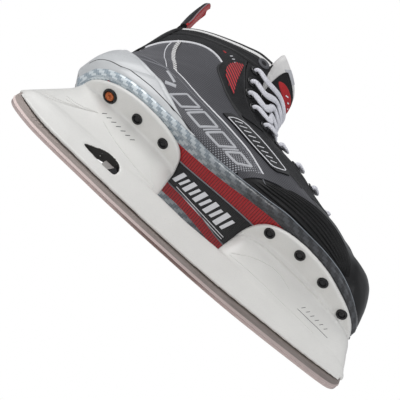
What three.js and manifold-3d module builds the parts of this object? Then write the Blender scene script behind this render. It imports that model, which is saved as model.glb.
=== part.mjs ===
// Ice hockey skate, one right-foot skate standing on its blade.
// Millimetres, +Z up, toe towards +X, outer side of the foot towards -Y.
// The boot is described by a fan of slices that run from a back or sole point H
// to an instep point F, each with a table of half widths along the slice.
import * as THREE from 'three';
import { mergeVertices } from 'three/addons/utils/BufferGeometryUtils.js';
import Module from 'manifold-3d';

const wasm = await Module();
wasm.setup();

// ---------------------------------------------------------------- dimensions
const LIFT = 1.5;               // raises the design frame so the steel stands on z = 0
const GAP = 0.3;                // clearance between neighbouring pieces
const STEEL_T = 3.0;            // runner thickness
const RUNNER_GROOVE = 3.0;      // depth of the groove that the runner sits in
const HOOK_X = 262, HOOK_Z = 29.5, HOOK_R = 2.6;   // front pin that the runner hooks round
const POST_X = 77.5;            // rear latch post of the runner
const SOLE_T = 3.8;             // outsole thickness
const LIP_H = 9.0;              // height of the outsole lip up the boot side
const FLANGE_T = 3.8;           // holder flange thickness
const QUARTER_T = 3.2;          // boot shell thickness
const FACING_T = 2.2;           // eyelet facing thickness
const EYELET_HOLE_R = 3.3;      // hole in the facing
const LACE_R = 1.45;            // lace radius
const TONGUE_SPLIT_Z = 212;     // the flap of the tongue folds forward here
const GUARD_PIVOT = [31.5, 205.6];
const TRIGGER_TRAVEL = 5.0;     // mm
const RUNNER_DROP_DEG = 3.0;    // heel end drops as the latch is drawn

// ---------------------------------------------------------------- small tools
const clamp = (t, a, b) => Math.min(b, Math.max(a, t));
const lerp = (a, b, t) => a + (b - a) * t;

// monotone cubic interpolation through points with given slopes (Fritsch-Carlson)
function pchip(xs, ys) {
  const n = xs.length, h = [], d = [], m = new Array(n).fill(0);
  for (let i = 0; i < n - 1; i++) { h.push(xs[i + 1] - xs[i]); d.push((ys[i + 1] - ys[i]) / h[i]); }
  for (let i = 1; i < n - 1; i++) {
    if (d[i - 1] * d[i] > 0) {
      const w1 = 2 * h[i] + h[i - 1], w2 = h[i] + 2 * h[i - 1];
      m[i] = (w1 + w2) / (w1 / d[i - 1] + w2 / d[i]);
    }
  }
  const end = (h0, h1, d0, d1) => {
    let s = ((2 * h0 + h1) * d0 - h0 * d1) / (h0 + h1);
    if (s * d0 <= 0) s = 0; else if (d0 * d1 <= 0 && Math.abs(s) > 3 * Math.abs(d0)) s = 3 * d0;
    return s;
  };
  m[0] = n > 2 ? end(h[0], h[1], d[0], d[1]) : d[0];
  m[n - 1] = n > 2 ? end(h[n - 2], h[n - 3], d[n - 2], d[n - 3]) : d[0];
  return (x) => {
    x = clamp(x, xs[0], xs[n - 1]);
    let i = 0; while (i < n - 2 && x > xs[i + 1]) i++;
    const t = (x - xs[i]) / h[i], t2 = t * t, t3 = t2 * t;
    return (2 * t3 - 3 * t2 + 1) * ys[i] + (t3 - 2 * t2 + t) * h[i] * m[i] + (-2 * t3 + 3 * t2) * ys[i + 1] + (t3 - t2) * h[i] * m[i + 1];
  };
}

// ---------------------------------------------------------------- boot master surface
const S_COL = [0, .04, .12, .25, .40, .55, .70, .80, .88, .95, 1];
// each row: H.x, H.z, F.x, F.z, half widths at S_COL
const ROWS = [
  [29, 203, 125, 213, 0, 6, 13, 20, 26, 31, 34.5, 34, 30, 20, 0],
  [26.8, 188, 127, 200, 0, 8, 15.5, 23, 28.5, 32.5, 34.5, 33.5, 29.5, 19.5, 0],
  [26, 166, 131, 184, 0, 9.3, 17.5, 26, 32, 35.5, 35.5, 32.5, 28, 18, 0],
  [24.5, 142, 138, 172, 0, 10, 17.5, 26, 33, 36.5, 35, 31.5, 27, 17.5, 0],
  [18.5, 121, 146, 165, 0, 10.2, 18, 26.5, 33, 36, 33.5, 29.5, 25, 16, 0],
  [12.6, 102, 154, 160, 0, 13.5, 21.5, 29, 34.2, 35.8, 33, 29, 24.5, 15.5, 0],
  [12.0, 86, 163, 156.5, 0, 17.5, 25.5, 31.5, 35, 35.5, 32.5, 28.5, 24, 15, 0],
  [16, 78, 171, 153, 0, 19, 27, 32, 34.5, 35, 32.5, 28.5, 24, 15, 0],
  [22, 76, 177, 151, 11, 21.5, 27.5, 32, 34.5, 35, 32.5, 28.5, 24, 15, 0],
  [30, 75.5, 183, 148.5, 19, 25.5, 30, 33, 35, 35.5, 33, 29, 24.5, 15.5, 0],
  [45, 75, 190, 145.5, 26, 29, 31.5, 34, 36, 36.5, 34, 30, 25, 16, 0],
  [65, 74, 198, 142, 28, 30.5, 33, 35.5, 37.5, 38, 35, 30.5, 25.5, 16, 0],
  [90, 72, 207, 137, 28, 31, 34, 37, 39, 39, 35, 30, 24.5, 15.5, 0],
  [115, 70, 217, 130.5, 27.5, 31.5, 35.5, 39, 40.8, 39.5, 34.5, 29.5, 24, 15, 0],
  [140, 67.2, 228, 125, 28.5, 33.5, 38, 41, 42.2, 40, 34.5, 29.5, 24, 15.5, 0],
  [165, 64.7, 238, 120.5, 32.5, 36.5, 40, 42.5, 43.5, 41, 35.5, 30, 24, 15.5, 0],
  [190, 63, 248, 116.5, 37, 39.5, 41.5, 43, 42.8, 39.5, 33, 28, 22.5, 14.5, 0],
  [215, 62, 257, 112.5, 38, 39.5, 41, 41.5, 40, 36.5, 30, 25, 20, 13, 0],
  [235, 61.7, 265.5, 109, 36, 37, 37.5, 38, 37, 34.3, 29, 24.5, 19.5, 12.3, 0],
  [250, 61.8, 271, 102.5, 31, 32, 33, 33.5, 32.5, 30.5, 26, 22, 17.5, 11, 0],
  [262, 62.2, 275.2, 93.5, 24.5, 25, 26.5, 27, 26.5, 24.5, 21, 17.5, 14, 9, 0],
  [271, 63, 278, 84, 17, 17.5, 18.5, 19, 18.5, 17, 14.5, 12, 9.5, 6, 0],
  [276.8, 64.5, 279.3, 75, 8.5, 8.5, 9, 9.5, 9, 8.5, 7.3, 6, 4.8, 3, 0],
  [279.3, 67.3, 279.7, 69, 0.6, .6, .6, .6, .6, .6, .5, .5, .4, .3, 0],
];
const NV = ROWS.length - 1;
const rowIdx = ROWS.map((_, i) => i);
const col = ROWS[0].map((_, c) => pchip(rowIdx, ROWS.map((r) => r[c])));
const HX = (v) => col[0](v), HZ = (v) => col[1](v), FX = (v) => col[2](v), FZ = (v) => col[3](v);
const wCache = new Map();
function halfWidth(v, s) {
  const key = Math.round(v * 1e5);
  let f = wCache.get(key);
  if (!f) { f = pchip(S_COL, S_COL.map((_, k) => col[4 + k](v))); wCache.set(key, f); }
  return f(s);
}
const centreY = (x) => (x > 150 ? 6 * ((x - 150) / 130) ** 2 : 0);   // the toe turns slightly inwards
function boot(v, s, side, off = 0) {
  const P = (vv, ss) => {
    vv = clamp(vv, 0, NV); ss = clamp(ss, 0, 1);
    const x = lerp(HX(vv), FX(vv), ss), z = lerp(HZ(vv), FZ(vv), ss);
    return new THREE.Vector3(x, centreY(x) + side * halfWidth(vv, ss), z);
  };
  const p = P(v, s);
  if (off === 0) return p;
  const n = bootNormal(v, s, side, P);
  return p.addScaledVector(n, off);
}
function bootNormal(v, s, side, P) {
  if (!P) P = (vv, ss) => boot(vv, ss, side);
  const dv = 0.12, ds = 0.012;
  const a = P(Math.min(NV, v + dv), s).sub(P(Math.max(0, v - dv), s));
  const b = P(v, Math.min(1, s + ds)).sub(P(v, Math.max(0, s - ds)));
  const n = new THREE.Vector3().crossVectors(a, b).normalize();
  const x = lerp(HX(v), FX(v), .5), c = new THREE.Vector3(x, centreY(x), lerp(HZ(v), FZ(v), .5));
  if (n.dot(P(v, s).sub(c)) < 0) n.negate();
  return n;
}
// the sole line (H side) as a function of x, for the outsole and holder
const soleRows = ROWS.slice(7);
const soleZ = pchip(soleRows.map((r) => r[0]), soleRows.map((r) => r[1]));
const soleLine = pchip([10, 40, 100, 140, 180, 235, 280], [76.2, 75.0, 71.2, 67.2, 63.6, 61.6, 62.2]);
// half width of the boot at a point of its side view
function widthAt(x, z) {
  let best = null;
  const f = (v) => { const hx = HX(v), hz = HZ(v), fx = FX(v), fz = FZ(v); return (fx - hx) * (z - hz) - (fz - hz) * (x - hx); };
  const N = 230; let pv = 0, pf = f(0);
  for (let i = 1; i <= N; i++) {
    const v = NV * i / N, fv = f(v);
    if (pf * fv <= 0) {
      let a = pv, b = v, fa = pf;
      for (let k = 0; k < 24; k++) { const m = (a + b) / 2, fm = f(m); if (fa * fm <= 0) b = m; else { a = m; fa = fm; } }
      const vv = (a + b) / 2, hx = HX(vv), hz = HZ(vv), dx = FX(vv) - hx, dz = FZ(vv) - hz;
      const s = ((x - hx) * dx + (z - hz) * dz) / (dx * dx + dz * dz);
      if (s >= -0.004 && s <= 1.004) { const c = { v: vv, s: clamp(s, 0, 1) }; c.w = halfWidth(c.v, c.s); if (!best || c.w > best.w) best = c; }
    }
    pv = v; pf = fv;
  }
  return best;
}
function locate(x, z) { return widthAt(x, z); }

// ---------------------------------------------------------------- mesh builders
function fromGrid(points, tris) {
  const g = new THREE.BufferGeometry();
  const pos = new Float32Array(points.length * 3);
  points.forEach((p, i) => { pos[3 * i] = p.x; pos[3 * i + 1] = p.y; pos[3 * i + 2] = p.z; });
  g.setAttribute('position', new THREE.BufferAttribute(pos, 3));
  g.setIndex(tris);
  return g;
}
function cleanGeometry(g, flipIfInside = true) {
  let m = g.clone();
  for (const k of Object.keys(m.attributes)) if (k !== 'position') m.deleteAttribute(k);
  if (!m.index) m.setIndex([...Array(m.attributes.position.count).keys()]);
  m = mergeVertices(m, 2e-3);
  const idx = m.index.array, out = [];
  for (let i = 0; i < idx.length; i += 3) if (idx[i] !== idx[i + 1] && idx[i + 1] !== idx[i + 2] && idx[i] !== idx[i + 2]) out.push(idx[i], idx[i + 1], idx[i + 2]);
  m.setIndex(out);
  if (flipIfInside && volume(m) < 0) { for (let i = 0; i < out.length; i += 3) { const t = out[i]; out[i] = out[i + 1]; out[i + 1] = t; } m.setIndex(out); }
  return m;
}
function volume(g) {
  const p = g.attributes.position, id = g.index.array; let v = 0;
  const a = new THREE.Vector3(), b = new THREE.Vector3(), c = new THREE.Vector3();
  for (let i = 0; i < id.length; i += 3) { a.fromBufferAttribute(p, id[i]); b.fromBufferAttribute(p, id[i + 1]); c.fromBufferAttribute(p, id[i + 2]); v += a.dot(b.cross(c)) / 6; }
  return v;
}
function toManifold(g) {
  const m = cleanGeometry(g);
  return new wasm.Manifold(new wasm.Mesh({ numProp: 3, vertProperties: new Float32Array(m.attributes.position.array), triVerts: new Uint32Array(m.index.array) }));
}
function fromManifold(mf) {
  const m = mf.getMesh(), g = new THREE.BufferGeometry();
  const n = m.numProp, vp = m.vertProperties, pos = new Float32Array(vp.length / n * 3);
  for (let i = 0; i < vp.length / n; i++) for (let k = 0; k < 3; k++) pos[3 * i + k] = vp[n * i + k];
  g.setAttribute('position', new THREE.BufferAttribute(pos, 3));
  g.setIndex([...m.triVerts]);
  return g;
}
// shell: closed solid between two grids of the same size; wrapU closes the grid round
function shell(outer, inner, closeU = false) {
  const nu = outer.length, nv = outer[0].length, pts = [], tris = [];
  const A = (i, j) => (i % nu) * nv + j, B = (i, j) => nu * nv + (i % nu) * nv + j;
  outer.forEach((r) => r.forEach((p) => pts.push(p)));
  inner.forEach((r) => r.forEach((p) => pts.push(p)));
  const q = (a, b, c, d) => { tris.push(a, b, c, a, c, d); };
  const mu = closeU ? nu : nu - 1;
  for (let i = 0; i < mu; i++) for (let j = 0; j < nv - 1; j++) {
    q(A(i, j), A(i + 1, j), A(i + 1, j + 1), A(i, j + 1));
    q(B(i, j), B(i, j + 1), B(i + 1, j + 1), B(i + 1, j));
  }
  for (let i = 0; i < mu; i++) {
    q(A(i, 0), B(i, 0), B(i + 1, 0), A(i + 1, 0));
    q(A(i, nv - 1), A(i + 1, nv - 1), B(i + 1, nv - 1), B(i, nv - 1));
  }
  if (!closeU) for (let j = 0; j < nv - 1; j++) {
    q(A(0, j), A(0, j + 1), B(0, j + 1), B(0, j));
    q(A(nu - 1, j), B(nu - 1, j), B(nu - 1, j + 1), A(nu - 1, j + 1));
  }
  return cleanGeometry(fromGrid(pts, tris));
}
// stack of closed plan loops; each loop is pairs of left and right points at the
// same station, so a flat cap is a strip of quads between the two sides
function loopStack(layers) {
  const n = layers[0].length, pts = [], tris = [];
  layers.forEach((L) => L.forEach((p) => pts.push(p)));
  for (let k = 0; k < layers.length - 1; k++) for (let i = 0; i < n; i++) {
    const a = k * n + i, b = k * n + (i + 1) % n, c = (k + 1) * n + (i + 1) % n, d = (k + 1) * n + i;
    tris.push(a, b, c, a, c, d);
  }
  const m = n / 2;   // points 0..m on one side, m..n-1 back on the other
  const cap = (base, flip) => {
    for (let i = 0; i < m; i++) {
      const r0 = base + i, r1 = base + i + 1, l0 = base + (n - i) % n, l1 = base + (n - i - 1) % n;
      const t = [];
      if (r0 !== l0) t.push(r0, l0, l1);
      if (r1 !== l1) t.push(r0, l1, r1);
      for (let q = 0; q < t.length; q += 3) tris.push(...(flip ? [t[q], t[q + 2], t[q + 1]] : [t[q], t[q + 1], t[q + 2]]));
    }
  };
  cap(0, false); cap((layers.length - 1) * n, true);
  return cleanGeometry(fromGrid(pts, tris));
}
// plan loop: heel point, right side towards the toe, toe point, left side back
function planLoop(x0, x1, wFun, zFun, n, yFun = () => 0) {
  const R = [], L = [];
  for (let i = 0; i <= n; i++) {
    const t = (1 - Math.cos(Math.PI * i / n)) / 2, x = lerp(x0, x1, t);
    const w = (i === 0 || i === n) ? 0 : wFun(x, t);
    R.push(new THREE.Vector3(x, yFun(x) - w, zFun(x))); L.push(new THREE.Vector3(x, yFun(x) + w, zFun(x)));
  }
  const loop = [...R];
  for (let i = n - 1; i >= 1; i--) loop.push(L[i]);
  return loop;
}
function offsetLoop(loop, d, zFun) {
  const n = loop.length, out = [];
  for (let i = 0; i < n; i++) {
    const a = loop[(i + n - 1) % n], b = loop[(i + 1) % n];
    const t = new THREE.Vector2(b.x - a.x, b.y - a.y).normalize();
    const nx = t.y, ny = -t.x;   // outward for a loop that runs heel -> right -> toe -> left
    const p = new THREE.Vector3(loop[i].x + nx * d, loop[i].y + ny * d, loop[i].z);
    if (zFun) p.z = zFun(p.x);
    out.push(p);
  }
  return out;
}
function sweptRod(points, r, sides, closed = false) {
  const curve = new THREE.CatmullRomCurve3(points, closed, 'centripetal');
  const sh = new THREE.Shape();
  for (let i = 0; i < sides; i++) { const a = 2 * Math.PI * i / sides; const x = r * Math.cos(a), y = r * Math.sin(a); if (i) sh.lineTo(x, y); else sh.moveTo(x, y); }
  sh.closePath();
  return { curve, shape: sh };
}
function extrudeSide(outline, t, y0) {   // outline is [x, z] pairs, thickness along y
  const sh = new THREE.Shape(outline.map(([x, z]) => new THREE.Vector2(x, z)));
  const g = new THREE.ExtrudeGeometry(sh, { depth: t, bevelEnabled: false, steps: 1 });
  g.rotateX(Math.PI / 2);       // shape x,y -> x,z ; depth towards -y
  g.translate(0, y0 + t, 0);
  return cleanGeometry(g);
}
function cylY(x, z, r, y0, y1, seg = 20) {
  const g = new THREE.CylinderGeometry(r, r, y1 - y0, seg);
  g.translate(x, (y0 + y1) / 2, 0); g.translate(0, 0, z);
  return cleanGeometry(g);
}
function boxAt(x0, x1, y0, y1, z0, z1) {
  const g = new THREE.BoxGeometry(x1 - x0, y1 - y0, z1 - z0);
  g.translate((x0 + x1) / 2, (y0 + y1) / 2, (z0 + z1) / 2);
  return cleanGeometry(g);
}

// ---------------------------------------------------------------- materials and assembly
const skate = new THREE.Group();
const design = new THREE.Group();      // design frame: blade heel at x = 0, lifted so that the steel stands on z = 0
skate.add(design);
const MATS = {
  steel: [0x8f8a86, .35, .9], holder: [0xe6e5df, .45, 0], black_plastic: [0x151517, .45, 0], copper: [0xb5643a, .35, .7],
  carbon: [0x8ea0ab, .3, .2], grey_shell: [0xcfd1d2, .4, 0], charcoal: [0x414146, .5, 0], black_trim: [0x1b1b1d, .6, 0],
  red: [0xa8232b, .6, 0], felt: [0xd9d8d6, .95, 0], foam: [0x2a2a2c, .9, 0], lace: [0xe9e9ef, .9, 0], board: [0x555250, .8, 0],
};
const matCache = {};
function material(key) {
  if (!matCache[key]) { const [c, r, m] = MATS[key]; matCache[key] = new THREE.MeshStandardMaterial({ color: c, roughness: r, metalness: m }); }
  return matCache[key];
}
const solids = {};
function add(name, geometry, key) {
  const g = cleanGeometry(geometry);
  g.computeVertexNormals();
  const mesh = new THREE.Mesh(g, material(key));
  mesh.name = name;
  design.add(mesh);
  solids[name] = g;
  return mesh;
}

// ---------------------------------------------------------------- runner (steel blade)
const BLADE_BOTTOM = [[0.6, 14.2], [1.6, 11.2], [4.5, 8.6], [11.9, 5.8], [26.6, 2.9], [45, 1.4], [70, 0.2], [98, -.95], [130, -LIFT], [158, -LIFT], [190, -.7], [222, 1.6], [252, 4.6], [272, 6.9], [280, 8.6], [284, 11.6], [285.3, 15.4]];
const ifaceZ = pchip([0, 33, 63, 97, 132, 167, 220, 251, 285], [19.4, 10.6, 8.7, 7.2, 6.5, 6.8, 10.4, 13.1, 18.0]);   // lower edge of the holder
const topOfSteel = (x) => ifaceZ(x) + RUNNER_GROOVE - GAP;
{
  const out = BLADE_BOTTOM.map((p) => [...p]);
  const top = [];
  for (const x of [284.6, 275]) top.push([x, topOfSteel(x)]);
  // front hook: a claw round the fixed pin, open towards the toe so it lifts off
  const a0 = -50, a1 = 230, R1 = HOOK_R + 3.4, R0 = HOOK_R + 0.5;
  top.push([HOOK_X + 6.2, topOfSteel(HOOK_X + 6.2)]);
  top.push([HOOK_X + 6.2, HOOK_Z - 3.4]);
  top.push([HOOK_X + 2.6, HOOK_Z - 3.4]);
  for (let k = 0; k <= 8; k++) { const a = (-80 - k * 24) * Math.PI / 180; top.push([HOOK_X + R0 * Math.cos(a), HOOK_Z + R0 * Math.sin(a)]); }
  top.push([HOOK_X + 1.2, HOOK_Z + R0 + .15], [HOOK_X + 5.4, HOOK_Z + R0 + .15], [HOOK_X + 5.4, HOOK_Z + R1]);
  for (let k = 0; k <= 6; k++) { const a = (90 + k * 18) * Math.PI / 180; top.push([HOOK_X + R1 * Math.cos(a), HOOK_Z + R1 * Math.sin(a)]); }
  top.push([HOOK_X - 8, topOfSteel(HOOK_X - 8)]);
  for (const x of [240, 220, 195, 167, 150, 132, 115, 97]) top.push([x, topOfSteel(x)]);
  // rear latch post with a sloping notch on its front side
  top.push([POST_X + 7, topOfSteel(POST_X + 7)], [POST_X + 3.2, 14.5], [POST_X + 3.2, 17.6], [POST_X - 0.2, 18.8], [POST_X + 3.1, 27.0], [POST_X - 4.6, 27.2], [POST_X - 5.6, 14.5], [POST_X - 9, topOfSteel(POST_X - 9)]);
  for (const x of [50, 33, 16, 1.2]) top.push([x, topOfSteel(x)]);
  add('runner', extrudeSide([...out, ...top], STEEL_T, -STEEL_T / 2), 'steel');
}

// ---------------------------------------------------------------- holder (two towers and a bridge)
const flangeZ = (x) => soleLine(x) - SOLE_T - GAP;        // top face of the flanges
const REAR_PLAN = pchip([0, .02, .06, .13, .25, .38, .52, .68, .8, .9, .96, 1], [0, 6.5, 12.5, 18, 23.3, 26.2, 27.3, 26.6, 24.6, 21, 15, 0]);
const FRONT_PLAN = pchip([0, .01, .05, .12, .18, .28, .4, .55, .7, .82, .91, .96, 1], [0, 9, 21.5, 30.5, 34, 37, 38, 36.5, 31.5, 26, 19, 12, 0]);
const BRIDGE_TOP = 32;
const barZ = (x) => ifaceZ(x);
function tower(x0, x1, plan, levels, xLow0, xLow1, n, yF) {
  const layers = [];
  const zLow = BRIDGE_TOP - 4;
  for (const [t, dx0, dx1, w, mix, fl] of levels) {
    const xa = lerp(xLow0, x0, dx0), xb = lerp(xLow1, x1, dx1);
    layers.push(planLoop(xa, xb, (x, u) => {
      const flat = w * Math.pow(Math.max(0, 1 - Math.pow(Math.abs(2 * u - 1), 5)), 1 / 2.2);
      return lerp(flat, plan(u) * w / 38 * (38 / Math.max(...[.3, .4, .5].map(plan))), mix);
    }, (x) => fl !== undefined ? flangeZ(x) - FLANGE_T + fl : lerp(zLow, flangeZ(x) - FLANGE_T, t), n, (x) => yF(x) * mix));
  }
  return loopStack(layers);
}
const rearLevels = [
  [0, 0, 0, 4.6, 0], [.35, .38, .25, 5.3, 0], [.6, .66, .5, 6.2, 0], [.85, .9, .82, 7.0, 0],
  [.985, .95, .93, 7.8, .1], [1, .985, .985, 25.8, 1], [1, 1, 1, 27.3, 1, .7], [1, 1, 1, 27.3, 1, FLANGE_T],
];
const frontLevels = [
  [0, 0, 0, 4.6, 0], [.35, .25, .42, 6.4, 0], [.6, .5, .7, 9.2, .1], [.85, .78, .88, 13.5, .3],
  [.985, .9, .95, 18.5, .6], [1, .985, .985, 36.4, 1], [1, 1, 1, 38, 1, .7], [1, 1, 1, 38, 1, FLANGE_T],
];
const rearTower = tower(21, 111, REAR_PLAN, rearLevels, 1.5, 114, 16, () => 0);
const frontTower = tower(171, 279, FRONT_PLAN, frontLevels, 167, 285, 16, centreY);
// bar above the runner, from heel to toe
const barLayers = [];
{
  const profTop = pchip([0, 8, 25, 113, 140, 169, 262, 280, 286], [24.5, 31, 33, 33.2, BRIDGE_TOP, 33.2, 33, 30.5, 26]);
  const lower = (x) => barZ(x), upper = (x) => profTop(x);
  const mk = (f, z) => planLoop(-.4, 286.4, (x, u) => f * Math.pow(Math.max(0, 1 - Math.pow(Math.abs(2 * u - 1), 14)), 1 / 2), z, 16);
  barLayers.push(mk(3.9, lower), mk(4.3, (x) => lerp(lower(x), upper(x), .35)), mk(5.0, (x) => lerp(lower(x), upper(x), .8)), mk(4.4, upper));
}
{
  let h = toManifold(loopStack(barLayers)).add(toManifold(rearTower)).add(toManifold(frontTower));
  // groove for the runner
  const groove = [];
  const xs = [-3, 1.2, 16, 33, 50, 68.5, 84.5, 97, 115, 132, 150, 167, 195, 220, 240, 254, 262, 268.2, 275, 284.6, 289];
  for (const x of xs) groove.push([x, ifaceZ(clamp(x, 0, 285)) - 6]);
  for (const x of [...xs].reverse()) groove.push([x, ifaceZ(clamp(x, 0, 285)) + RUNNER_GROOVE + (x > 250 ? 1.3 : 0.1)]);
  h = h.subtract(toManifold(extrudeSide(groove, STEEL_T + 2 * GAP, -STEEL_T / 2 - GAP)));
  // pocket for the front hook, and the bore of its pin
  h = h.subtract(toManifold(boxAt(HOOK_X - 9.5, HOOK_X + 9, -STEEL_T / 2 - GAP, STEEL_T / 2 + GAP, 12, HOOK_Z + 8.2)));
  h = h.subtract(toManifold(cylY(HOOK_X, HOOK_Z, HOOK_R + GAP, -20, 20)));
  // window through the rear tower, where a finger reaches the trigger
  const win = [[53.5, 21.8], [57, 20.2], [83.5, 17.6], [85, 19.6], [83.8, 27.2], [77, 31.2], [70, 31.4], [62, 27.2]];
  h = h.subtract(toManifold(extrudeSide(win, 60, -30)));
  // latch chamber inside the tower: it holds the trigger and its spring
  h = h.subtract(toManifold(boxAt(68.5, 103.5, -3.3, 3.3, 15.6, 30.4)));
  h = h.subtract(toManifold(boxAt(66.5, 86.5, -STEEL_T / 2 - GAP, STEEL_T / 2 + GAP, 9, 30.4)));
  // rivet holes
  h = h.subtract(rivetTools(1.0));
  add('holder', fromManifold(h), 'holder');
}

// ---------------------------------------------------------------- rivets
function rivetSpots() {
  const near = [[42.6, -13.2], [67.4, -15.2], [91.9, -15.6], [186.7, -26], [211.4, -30], [235.2, -26], [259.6, -16.6]];
  const spots = [];
  near.forEach(([x, y], i) => { spots.push([x, y, 'right', i]); });
  near.forEach(([x, y], i) => { spots.push([x, 2 * centreY(x) - y, 'left', i]); });
  return spots;
}
function rivetFrame(x) {
  const s = (flangeZ(x + 1) - flangeZ(x - 1)) / 2;
  return Math.atan(s);
}
function rivetTools(extra) {
  let all = null;
  for (const [x, y] of rivetSpots()) {
    const g = new THREE.CylinderGeometry(2.2 + GAP, 2.2 + GAP, 40, 10); g.rotateX(Math.PI / 2);
    g.rotateY(-rivetFrame(x)); g.translate(x, y, flangeZ(x) - 2);
    const m = toManifold(g);
    all = all ? all.add(m) : m;
  }
  return all;
}
for (const [x, y, side, i] of rivetSpots()) {
  // head below the flange, shank up through flange and outsole, clenched end above the insole
  const zt = SOLE_T, zb = -FLANGE_T - .75;
  const prof = [[0, zb - 1.9], [3.0, zb - 1.6], [4.8, zb], [2.15, zb + .01], [2.15, zt], [0, zt]].map(([r, z]) => new THREE.Vector2(r, z));
  const g = new THREE.LatheGeometry(prof, 10); g.rotateX(Math.PI / 2);
  g.rotateY(-rivetFrame(x)); g.translate(x, y, flangeZ(x));
  const tag = i < 3 ? `rear_${i + 1}` : `front_${i - 2}`;
  add(`rivet_${side}_${tag}`, g, (side === 'right' && i === 0) ? 'copper' : 'black_plastic');
}

// ---------------------------------------------------------------- release mechanism
{
  // front pin
  add('front_hook_pin', cylY(HOOK_X, HOOK_Z, HOOK_R, -3.9, 3.9, 16), 'steel');
  // trigger: a slide in the chamber; its tongue sits in the notch of the post and a finger tab hangs in the window
  const y = 2.7;
  const tr = [[POST_X + 0.6, 19.7], [POST_X + 3.9, 18.5], [POST_X + 3.9, 17.0], [POST_X + 12.6, 17.0], [POST_X + 12.6, 29.8], [POST_X + 5.2, 29.8], [POST_X + 3.75, 27.3]];
  let t = toManifold(extrudeSide(tr, 2 * y, -y));
  // blind pocket that locates the spring
  add('trigger', fromManifold(t), 'black_plastic');
  // coil spring between the trigger and the chamber wall
  const pts = [], turns = 4, r = 1.75, xa = POST_X + 12.6 + .75, xb = 103.5 - .75, N = 60;
  for (let i = 0; i <= N; i++) { const a = 2 * Math.PI * turns * i / N; pts.push(new THREE.Vector3(lerp(xa, xb, i / N), r * Math.cos(a), 23.4 + r * Math.sin(a))); }
  const { curve, shape } = sweptRod(pts, .4, 5);
  add('trigger_spring', new THREE.ExtrudeGeometry(shape, { steps: 50, extrudePath: curve, bevelEnabled: false }), 'steel');
}

// ---------------------------------------------------------------- outsole tray
const NLOOP = 20;
function bootLoop(h, zf) {
  // plan loop of the boot skin at height h above the sole line
  const z = (x) => soleLine(x) + h;
  const inside = (x) => { const c = widthAt(x, z(x)); return c ? c.w : 0; };
  let a = 8, b = 40; for (let k = 0; k < 30; k++) { const m = (a + b) / 2; if (inside(m) > .5) b = m; else a = m; }
  const x0 = b - .15;
  a = 262; b = 282; for (let k = 0; k < 30; k++) { const m = (a + b) / 2; if (inside(m) > .8) a = m; else b = m; }
  const x1 = a + .15;
  return planLoop(x0, x1, (x) => inside(x), zf || z, NLOOP, centreY);
}
const skinAt = { 0: bootLoop(1.6), 5: bootLoop(5), 9: bootLoop(LIP_H) };
{
  const floor = (x) => soleLine(x) - GAP, bottom = (x) => soleLine(x) - SOLE_T;
  const withZ = (loop, z) => loop.map((p) => new THREE.Vector3(p.x, p.y, z(p.x)));
  const L = [
    withZ(offsetLoop(skinAt[0], -2.2), bottom),
    withZ(offsetLoop(skinAt[0], 1.2), (x) => bottom(x) + 1.4),
    withZ(offsetLoop(skinAt[5], 2.1), (x) => soleLine(x) + 4.6),
    withZ(offsetLoop(skinAt[9], 1.8), (x) => soleLine(x) + LIP_H),
    withZ(offsetLoop(skinAt[9], .85), (x) => soleLine(x) + LIP_H),
    withZ(offsetLoop(skinAt[5], .95), (x) => soleLine(x) + 4.8),
    withZ(offsetLoop(skinAt[0], .95), (x) => soleLine(x) + 1.2),
    withZ(offsetLoop(skinAt[0], -.8), floor),
  ];
  let o = toManifold(loopStack(L));
  for (const [x, y] of rivetSpots()) {
    const g = new THREE.CylinderGeometry(2.2 + GAP, 2.2 + GAP, 30, 10); g.rotateX(Math.PI / 2);
    g.rotateY(-rivetFrame(x)); g.translate(x, y, flangeZ(x));
    o = o.subtract(toManifold(g));
  }
  add('outsole', fromManifold(o), 'carbon');
}

// ---------------------------------------------------------------- eyelets: side view places, top to toe
const EYELET_XZ = [[101.3, 200.5], [101, 182.5], [105.2, 168], [109.8, 156.5], [119.4, 149.2], [134.6, 146], [152.3, 142], [171.4, 137], [190.9, 130.6], [211, 123.6]];
const EYELETS = EYELET_XZ.map(([x, z]) => locate(x, z));
const BAR_U = [0, .815, .765, .715, .66, .595, .50, .385, .265, .135];   // where each bar crosses the tongue
function eyeletFrame(e, side) { const p = boot(e.v, e.s, side, 0), n = bootNormal(e.v, e.s, side); return { p, n }; }
function alongNormal(g, e, side) {
  const { p, n } = eyeletFrame(e, side), q = new THREE.Quaternion().setFromUnitVectors(new THREE.Vector3(0, 1, 0), n);
  const h = g.clone(); h.applyQuaternion(q); h.translate(p.x, p.y, p.z);
  return cleanGeometry(h);
}

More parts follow.
